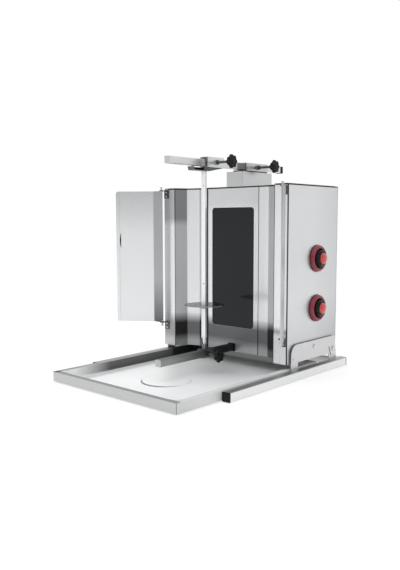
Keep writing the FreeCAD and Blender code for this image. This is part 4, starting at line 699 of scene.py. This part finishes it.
def ring_mesh(name, section, starts):
    """Rings turned about +X from one closed section, one at each start."""
    form = bmesh.new()
    for start in starts:
        rows = []
        for step in range(RING_STEPS):
            angle = 2 * math.pi * step / RING_STEPS
            rows.append([form.verts.new(round_axis(start, along, radius, angle)) for along, radius in section])
        for near, far in zip(rows, rows[1:] + rows[:1]):
            skin(form, near, far)
    return smoothed(closed_mesh(name, form))


for clamp in CLAMPS:
    star = clamp + "_star_knob"
    start = axis_start(clamp + "_clamp_screw", star)
    mesh = lobed_mesh(star, STAR_RINGS, STAR_LOBES, start, STAR_STEPS)
    take_place(star + "_moulded", painted(mesh, grip_plastic), star)

for zone in ZONES:
    shaft = "knob_shaft_" + zone
    for node, rings, lobes, steps, finish in (
            ("control_knob_" + zone, GRIP_RINGS, GRIP_LOBES, GRIP_STEPS, grip_plastic),
            ("knob_cap_" + zone, CAP_RINGS, ROUND, CAP_STEPS, cap_red)):
        mesh = lobed_mesh(node, rings, lobes, axis_start(shaft, node), steps)
        take_place(node + "_moulded", painted(mesh, finish), node)

for name, section, node, finish in (("control_rings", RING_SECTION, "bezel_rings", ring_red),
                                    ("control_dials", DIAL_SECTION, "control_bezels", black_plastic)):
    starts = [axis_start("knob_shaft_" + zone, node) for zone in ZONES]
    take_place(name + "_moulded", painted(ring_mesh(name, section, starts), finish), node)


# ---------------------------------------------------------------- on the wind guards, in mm
HINGE_PLACE = (233.6, -23.0, 0.0)        # the right guard's hinge axis in plan
GUARD_TURN = {"left": 143.0, "right": 121.0}
FLANGE_FOLD = math.radians(20)
FLANGE_ALONG = Vector((math.cos(FLANGE_FOLD), math.sin(FLANGE_FOLD), 0))
FLANGE_OUT = Vector((math.sin(FLANGE_FOLD), -math.cos(FLANGE_FOLD), 0))
PANEL_FACE = -10.26                      # outer face of the shut guard's panel
PULL_FROM, PULL_TO = 0.25, 0.95          # the pull's two faces, in from the panel's
PULL_EDGE, PULL_DEPTH, PULL_HALF, PULL_MIDDLE = -133.69, 4.0, 25.0, 383.0
# (name, start, end, bottom, top, face, thickness), the first two from the hinge axis along the flange
LIP = ("flange_lip", -7.2, 4.6, 122, 538, 0.0, 1.2)
EAR = ("ear_plate", -28.0, -3.4, 519, 538, 0.8, 0.8)


def on_guard(side, place):
    """A place on the shut right guard, in mm, carried to where the open guard stands."""
    carried = Matrix.Rotation(math.radians(GUARD_TURN[side]), 3, "Z") @ Vector(place) + Vector(HINGE_PLACE)
    return Vector((-carried.x if side == "left" else carried.x, carried.y, carried.z)) * MM


def guard_piece(name, side, near_face, far_face, finish, slot):
    """A small piece on a guard between two faces, given on the shut guard."""
    form = bmesh.new()
    near, far = [[form.verts.new(on_guard(side, place)) for place in face] for face in (near_face, far_face)]
    skin(form, near, far)
    form.faces.new(near)
    form.faces.new(far)
    add_piece(name + "_" + side, painted(closed_mesh(name, form), finish), body_with["guard_" + side])


def flange_plate(side, finish, name, start, end, bottom, top, face, thick):
    """A flat plate along the hinge flange."""
    corners = [FLANGE_ALONG * along + FLANGE_OUT * out for along, out in
               ((start, face), (end, face), (end, face - thick), (start, face - thick))]
    guard_piece(name, side, [corner + Z * bottom for corner in corners], [corner + Z * top for corner in corners],
                finish, slot_of["guard_" + side])


pull_arc = [(PULL_EDGE - PULL_DEPTH * math.cos(turn), PULL_MIDDLE + PULL_HALF * math.sin(turn))
            for turn in [math.radians(step) for step in range(-90, 91, 15)]]
for side in SIDES:
    near_face, far_face = [[(x, PANEL_FACE + inwards, z) for x, z in pull_arc] for inwards in (PULL_FROM, PULL_TO)]
    guard_piece("finger_pull", side, near_face, far_face, black_plastic, slot_of["rail_end_caps"])
    flange_plate(side, guard_steel, *LIP)
    flange_plate(side, bolt_steel, *EAR)


# ---------------------------------------------------------------- geometry trees
class Shape(Tree):
    """A geometry tree with named sizes, ending in real faces with a finish."""

    def __init__(self, name, sizes):
        self.group = bpy.data.node_groups.new(name, "GeometryNodeTree")
        super().__init__(self.group)
        face = self.group.interface
        face.new_socket("Start", in_out="INPUT", socket_type="NodeSocketGeometry")
        self.sockets = {}
        for label, value in sizes.items():
            socket = face.new_socket(label, in_out="INPUT", socket_type="NodeSocketFloat")
            socket.default_value = value
            self.sockets[label] = socket.identifier
        face.new_socket("Result", in_out="OUTPUT", socket_type="NodeSocketGeometry")
        self.given = self.node("NodeGroupInput", {}, {}, "Start")

    def size(self, label):
        return self.given.also(label)

    def end(self, geometry, finish):
        real = self.node("GeometryNodeRealizeInstances", {}, {0: geometry})
        smooth = self.node("GeometryNodeSetShadeSmooth", {}, {0: real})
        done = self.node("GeometryNodeSetMaterial", {}, {"Geometry": smooth, "Material": finish})
        self.node("NodeGroupOutput", {}, {"Result": done})

    def grown(self, start, **sizes):
        """The plain mesh that the tree makes of a start mesh."""
        holder = placed(start.name, start)
        modifier = holder.modifiers.new("shape", "NODES")
        modifier.node_group = self.group
        for label, value in sizes.items():
            modifier[self.sockets[label.replace("_", " ")]] = value
        mesh = settled(holder)
        mesh.set_sharp_from_angle(angle=FASTENER_ANGLE)
        return mesh


def marked_points(name, spots):
    """Loose points, each with the way it faces. spots are (place in mm, facing)."""
    mesh = bpy.data.meshes.new(name)
    mesh.from_pydata([Vector(place) * MM for place, facing in spots], [], [])
    ways = mesh.attributes.new("facing", "FLOAT_VECTOR", "POINT")
    for mark, (place, facing) in zip(ways.data, spots):
        mark.vector = facing
    return mesh


def lines_mesh(name, lines):
    """Loose straight edges. lines are (end, end), in mm."""
    mesh = bpy.data.meshes.new(name)
    points = [Vector(end) * MM for line in lines for end in line]
    mesh.from_pydata(points, [(2 * n, 2 * n + 1) for n in range(len(lines))], [])
    return mesh


def screw_shape():
    """A domed head at each start point, turned to the way it faces."""
    shape = Shape("screw_heads", {"head radius": 0.004, "head height": 0.0022, "dome": 0.0009})
    radius = shape.size("head radius")
    head = shape.node("GeometryNodeMeshCylinder", {}, {"Vertices": 24, "Fill Segments": 4, "Radius": radius,
                                                       "Depth": shape.size("head height")})
    place = shape.node("GeometryNodeInputPosition")
    parts = shape.node("ShaderNodeSeparateXYZ", {}, {0: place})
    away = (parts * parts + parts.also("Y") * parts.also("Y")) / (radius * radius)
    rise = (1.0 - away) * shape.size("dome") * (parts.also("Z") > 0.0)
    lift = shape.node("ShaderNodeCombineXYZ", {}, {"Z": rise})
    domed = shape.node("GeometryNodeSetPosition", {}, {"Geometry": head, "Offset": lift})
    even = shape.node("ShaderNodeCombineXYZ", {}, {"X": radius, "Y": radius, "Z": radius})
    share = shape.node("ShaderNodeVectorMath", {"operation": "DIVIDE"}, {0: place, 1: even})
    named = shape.node("GeometryNodeStoreNamedAttribute", {"data_type": "FLOAT_VECTOR"},
                       {"Geometry": domed, "Name": "on_head", "Value": share})
    facing = shape.node("GeometryNodeInputNamedAttribute", {"data_type": "FLOAT_VECTOR"}, {"Name": "facing"})
    turn = shape.node("FunctionNodeAlignRotationToVector", {"axis": "Z"}, {"Vector": facing})
    heads = shape.node("GeometryNodeInstanceOnPoints", {}, {"Points": shape.given, "Instance": named,
                                                            "Rotation": turn})
    shape.end(heads, screw_finish)
    return shape


def thread_shape():
    """A screw along +X from the start point: a fine cylinder with a helical groove cut round it."""
    shape = Shape("screw_threads", {"radius": 0.004, "length": 0.06, "pitch": 0.0025, "depth": 0.0005})
    length, pitch = shape.size("length"), shape.size("pitch")
    rod = shape.node("GeometryNodeMeshCylinder", {}, {"Vertices": 24, "Side Segments": 150, "Fill Segments": 1,
                                                      "Radius": shape.size("radius"), "Depth": length})
    parts = shape.node("ShaderNodeSeparateXYZ", {}, {0: shape.node("GeometryNodeInputPosition")})
    up = parts.also("Z")
    turn = parts.sum("ARCTAN2", parts.also("Y"), parts) / (2 * math.pi)
    wave = abs(parts.sum("FRACT", up / pitch - turn + 100.0) - 0.5) * 2.0
    keep = 1.0 - wave * shape.size("depth") / shape.size("radius")
    moved = shape.node("ShaderNodeCombineXYZ", {}, {"X": parts * keep, "Y": parts.also("Y") * keep, "Z": up})
    cut = shape.node("GeometryNodeSetPosition", {}, {"Geometry": rod, "Position": moved})
    laid = shape.node("GeometryNodeTransform", {}, {"Geometry": cut, "Rotation": (0, math.pi / 2, 0)})
    middle = shape.node("ShaderNodeCombineXYZ", {}, {"X": length / 2})
    shifted = shape.node("GeometryNodeTransform", {}, {"Geometry": laid, "Translation": middle})
    screw = shape.node("GeometryNodeInstanceOnPoints", {}, {"Points": shape.given, "Instance": shifted})
    shape.end(screw, screw_dark)
    return shape


def weld_shape():
    """A row of overlapping weld ripples along each edge of the start mesh."""
    shape = Shape("weld_beads", {"bead radius": 0.0016, "step": 0.0012})
    line = shape.node("GeometryNodeMeshToCurve", {}, {0: shape.given})
    spaced = shape.node("GeometryNodeResampleCurve", {"mode": "LENGTH"}, {"Curve": line,
                                                                          "Length": shape.size("step")})
    ripple = shape.node("GeometryNodeMeshUVSphere", {}, {"Segments": 10, "Rings": 6,
                                                         "Radius": shape.size("bead radius")})
    along = shape.node("GeometryNodeInputTangent")
    turn = shape.node("FunctionNodeAlignRotationToVector", {"axis": "X"}, {"Vector": along})
    beads = shape.node("GeometryNodeInstanceOnPoints", {}, {"Points": spaced, "Instance": ripple,
                                                            "Rotation": turn, "Scale": (0.75, 1.0, 0.8)})
    shape.end(beads, bracket_steel)
    return shape


screws = screw_shape()
threads = thread_shape()
welds = weld_shape()

# ---------------------------------------------------------------- screws, rivets, threads and welds, in mm
SCREW_INSET, SCREW_PROUD, REAR_MIDDLE_X = 11, 0.9, 70
REAR_LOW, REAR_BETWEEN, REAR_HIGH = 0.035, (0.36, 0.66), 0.965   # shares of the panel's height
RIVETS_ALONG, LOW_RIVET_Z, HIGH_RIVET_Z = (-11.5, -22.0), 128.0, 528.5
LOW_RIVET_OUT, HIGH_RIVET_OUT = 0.6, 1.4
WELD_LIFT = 0.3                          # a weld's middle above the rail
FRONT_WELD, REAR_WELD = (3, 31), (40, 3)  # a weld's two ends, in from the bracket's front and rear

low, high = box_mm("rear_panel")
rear_places = [(side * (high.x - SCREW_INSET), share) for side in (-1, 1)
               for share in (REAR_LOW, *REAR_BETWEEN, REAR_HIGH)]
rear_places += [(x, share) for x in (-REAR_MIDDLE_X, REAR_MIDDLE_X) for share in (REAR_LOW, REAR_HIGH)]
rear_spots = [((x, high.y + SCREW_PROUD, low.z + (high.z - low.z) * share), Y) for x, share in rear_places]
add_piece("rear_panel_screws", screws.grown(marked_points("rear_panel_screws", rear_spots)), "frame")

for side in SIDES:
    rivets = []
    for height, out in ((LOW_RIVET_Z, LOW_RIVET_OUT), (HIGH_RIVET_Z, HIGH_RIVET_OUT)):
        for away in RIVETS_ALONG:
            place, ahead = [on_guard(side, FLANGE_ALONG * away + FLANGE_OUT * reach + Z * height) / MM
                            for reach in (out, out + 1)]
            rivets.append((place, ahead - place))
    name = "ear_rivets_" + side
    mesh = screws.grown(marked_points(name, rivets), head_radius=0.0021, head_height=0.0013, dome=0.0005)
    add_piece(name, mesh, body_with["guard_" + side])

for clamp in CLAMPS:
    screw = clamp + "_clamp_screw"
    low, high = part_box(screw)
    mesh = threads.grown(marked_points(screw, [(axis_start(screw) / MM, X)]), length=high.x - low.x)
    take_place(clamp + "_clamp_thread", mesh, screw)

low, high = box_mm("side_bracket_right")
front_ends = [low.y + inwards for inwards in FRONT_WELD]
rear_ends = [high.y - inwards for inwards in REAR_WELD]
feet = [[(side * x, y, low.z + WELD_LIFT) for y in ends] for side in (-1, 1) for x in (low.x, high.x)
        for ends in (front_ends, rear_ends)]
add_piece("bracket_welds", welds.grown(lines_mesh("bracket_welds", feet)), "frame")


# ---------------------------------------------------------------- studio
LENS, SENSOR, CLIP_START = 40.9, 36.0, 0.05
CAMERA_PLACE = (1.25395, -1.48423, 0.44697)
CAMERA_TURN, CAMERA_DOWN, CAMERA_ROLL = math.radians(42.13), math.radians(5.69), math.radians(-0.09)
FLOOR_RADIUS, FLOOR_DROP = 1.5, 0.0005
SHADOW_FULL, SHADOW_END = 0.55, FLOOR_RADIUS - 0.07
SHADOW_STRENGTH = 0.42
FLOOR_WHITE = (0.93, 0.93, 0.93, 1)

# compass of what the steel mirrors: degrees from +X towards +Y, and how bright it is there
MIRRORED_ROUND = [
    (0, 0.50), (22, 0.66), (40, 0.80), (60, 0.80), (80, 0.86), (112, 0.92), (150, 0.92), (180, 0.80), (196, 0.84),
    (222, 1.0), (240, 1.0), (252, 0.92), (261, 0.92), (268, 0.95), (285, 0.98), (306, 0.98), (330, 0.80),
    (346, 0.50), (360, 0.50),
]
# how bright it is by height, in degrees above the horizon: towards the room, and towards the backdrop
ROOM_UP = [
    (-90, 0.92), (-20, 0.95), (-7, 1.0), (-1.0, 1.0), (2.0, 0.84), (5, 0.70), (8, 0.30), (16, 0.20), (24, 0.55),
    (36, 1.0), (90, 1.0),
]
BACKDROP_UP = [(-90, 0.92), (-6, 1.0), (0, 1.0), (4, 0.92), (7, 0.96), (14, 1.0), (90, 1.0)]
# where the room takes over from the backdrop round the compass
ROOM_ROUND = [(0, 0.35), (40, 0.0), (150, 0.0), (195, 1.0), (320, 1.0), (350, 0.7), (360, 0.35)]
SOFT_LIGHT = (0.80, 0.80, 0.80)
# (name, place, aim, width, height, watts)
LAMPS = [
    ("top_light", (0.1, -0.3, 2.3), (0, 0, 0.3), 2.2, 2.0, 22),
    ("left_light", (-2.0, -1.6, 1.5), (0, 0, 0.3), 1.2, 1.4, 16),
    ("right_light", (2.1, -0.4, 1.5), (0.1, 0, 0.3), 0.9, 1.4, 14),
    ("rear_light", (-0.6, 2.2, 1.6), (0, 0, 0.3), 1.6, 1.2, 10),
]


def build_world():
    """White to the eye, the studio's shades to a mirror, and even soft light on the object."""
    world = bpy.data.worlds.new("studio")
    bpy.context.scene.world = world
    world.use_nodes = True
    air = Tree(world.node_tree)
    way = air.node("ShaderNodeSeparateXYZ", {}, {0: air.node("ShaderNodeTexCoord", result="Generated")})
    height = way.also("Z") * 0.5 + 0.5
    compass = way.sum("FRACT", way.sum("ARCTAN2", way.also("Y"), way) / (2 * math.pi) + 1.0)

    def by_compass(stops):
        laid = [(angle / 360, shade) for angle, shade in stops]
        return air.node("ShaderNodeValToRGB", {"stops": laid}, {0: compass})

    def by_height(stops):
        laid = [((math.sin(math.radians(angle)) + 1) / 2, shade) for angle, shade in stops]
        return air.node("ShaderNodeValToRGB", {"stops": laid}, {0: height})

    up_shade = air.blend(by_compass(ROOM_ROUND), by_height(BACKDROP_UP), by_height(ROOM_UP))
    mirrored = air.blend(1.0, by_compass(MIRRORED_ROUND), up_shade, "MULTIPLY")
    seen = air.node("ShaderNodeLightPath", result="Is Camera Ray")
    lit = air.blend(seen.also("Is Glossy Ray"), SOFT_LIGHT, mirrored)
    shown = air.blend(seen, lit, (1, 1, 1))
    air.node("ShaderNodeOutputWorld", {}, {"Surface": air.node("ShaderNodeBackground", {}, {"Color": shown})})


def build_floor():
    """White to the eye and in mirrors, with the object's shadow near it, and clear from below."""
    form = bmesh.new()
    bmesh.ops.create_circle(form, cap_ends=True, segments=96, radius=FLOOR_RADIUS)
    mesh = bpy.data.meshes.new("studio_floor")
    form.to_mesh(mesh)
    form.free()
    floor = placed("studio_floor", mesh)
    floor.location.z = -FLOOR_DROP
    paint = Finish("floor_paint")
    away = (paint.x * paint.x + paint.y * paint.y) ** 0.5
    shadow = (1.0 - (away - SHADOW_FULL) / (SHADOW_END - SHADOW_FULL)).capped() * SHADOW_STRENGTH
    path = paint.node("ShaderNodeLightPath", result="Is Camera Ray")
    seen = (path + path.also("Is Glossy Ray") + path.also("Is Transmission Ray")).capped()
    matt = paint.node("ShaderNodeBsdfDiffuse", {}, {"Color": FLOOR_WHITE})
    white = paint.node("ShaderNodeEmission", {}, {"Color": (1, 1, 1, 1), "Strength": 1.0})
    above = paint.node("ShaderNodeMixShader", {}, {0: 1.0 - seen * (1.0 - shadow), 1: white, 2: matt})
    below = paint.node("ShaderNodeNewGeometry", result="Backfacing")
    clear = paint.node("ShaderNodeBsdfTransparent")
    both = paint.node("ShaderNodeMixShader", {}, {0: below, 1: above, 2: clear})
    paint.node("ShaderNodeOutputMaterial", {}, {"Surface": both})
    mesh.materials.append(paint.material)


def soft_box(name, place, aim, width, height, watts):
    """A large lamp that neither the eye nor a mirror sees."""
    lamp = bpy.data.lights.new(name, "AREA")
    lamp.shape = "RECTANGLE"
    lamp.size = width
    lamp.size_y = height
    lamp.energy = watts
    holder = placed(name, lamp)
    holder.location = place
    holder.rotation_euler = (Vector(aim) - Vector(place)).to_track_quat("-Z", "Y").to_euler()
    holder.visible_camera = False
    holder.visible_glossy = False


def build_camera():
    lens = bpy.data.cameras.new("camera")
    lens.lens = LENS
    lens.sensor_width = SENSOR
    lens.clip_start = CLIP_START
    camera = placed("camera", lens)
    ahead = Vector((-math.sin(CAMERA_TURN) * math.cos(CAMERA_DOWN),
                    math.cos(CAMERA_TURN) * math.cos(CAMERA_DOWN), -math.sin(CAMERA_DOWN)))
    turn = ahead.to_track_quat("-Z", "Y").to_matrix().to_4x4() @ Matrix.Rotation(CAMERA_ROLL, 4, "Z")
    camera.matrix_world = Matrix.Translation(CAMERA_PLACE) @ turn
    bpy.context.scene.camera = camera


build_world()
build_floor()
for lamp in LAMPS:
    soft_box(*lamp)
build_camera()
bpy.context.scene.view_settings.view_transform = "Standard"
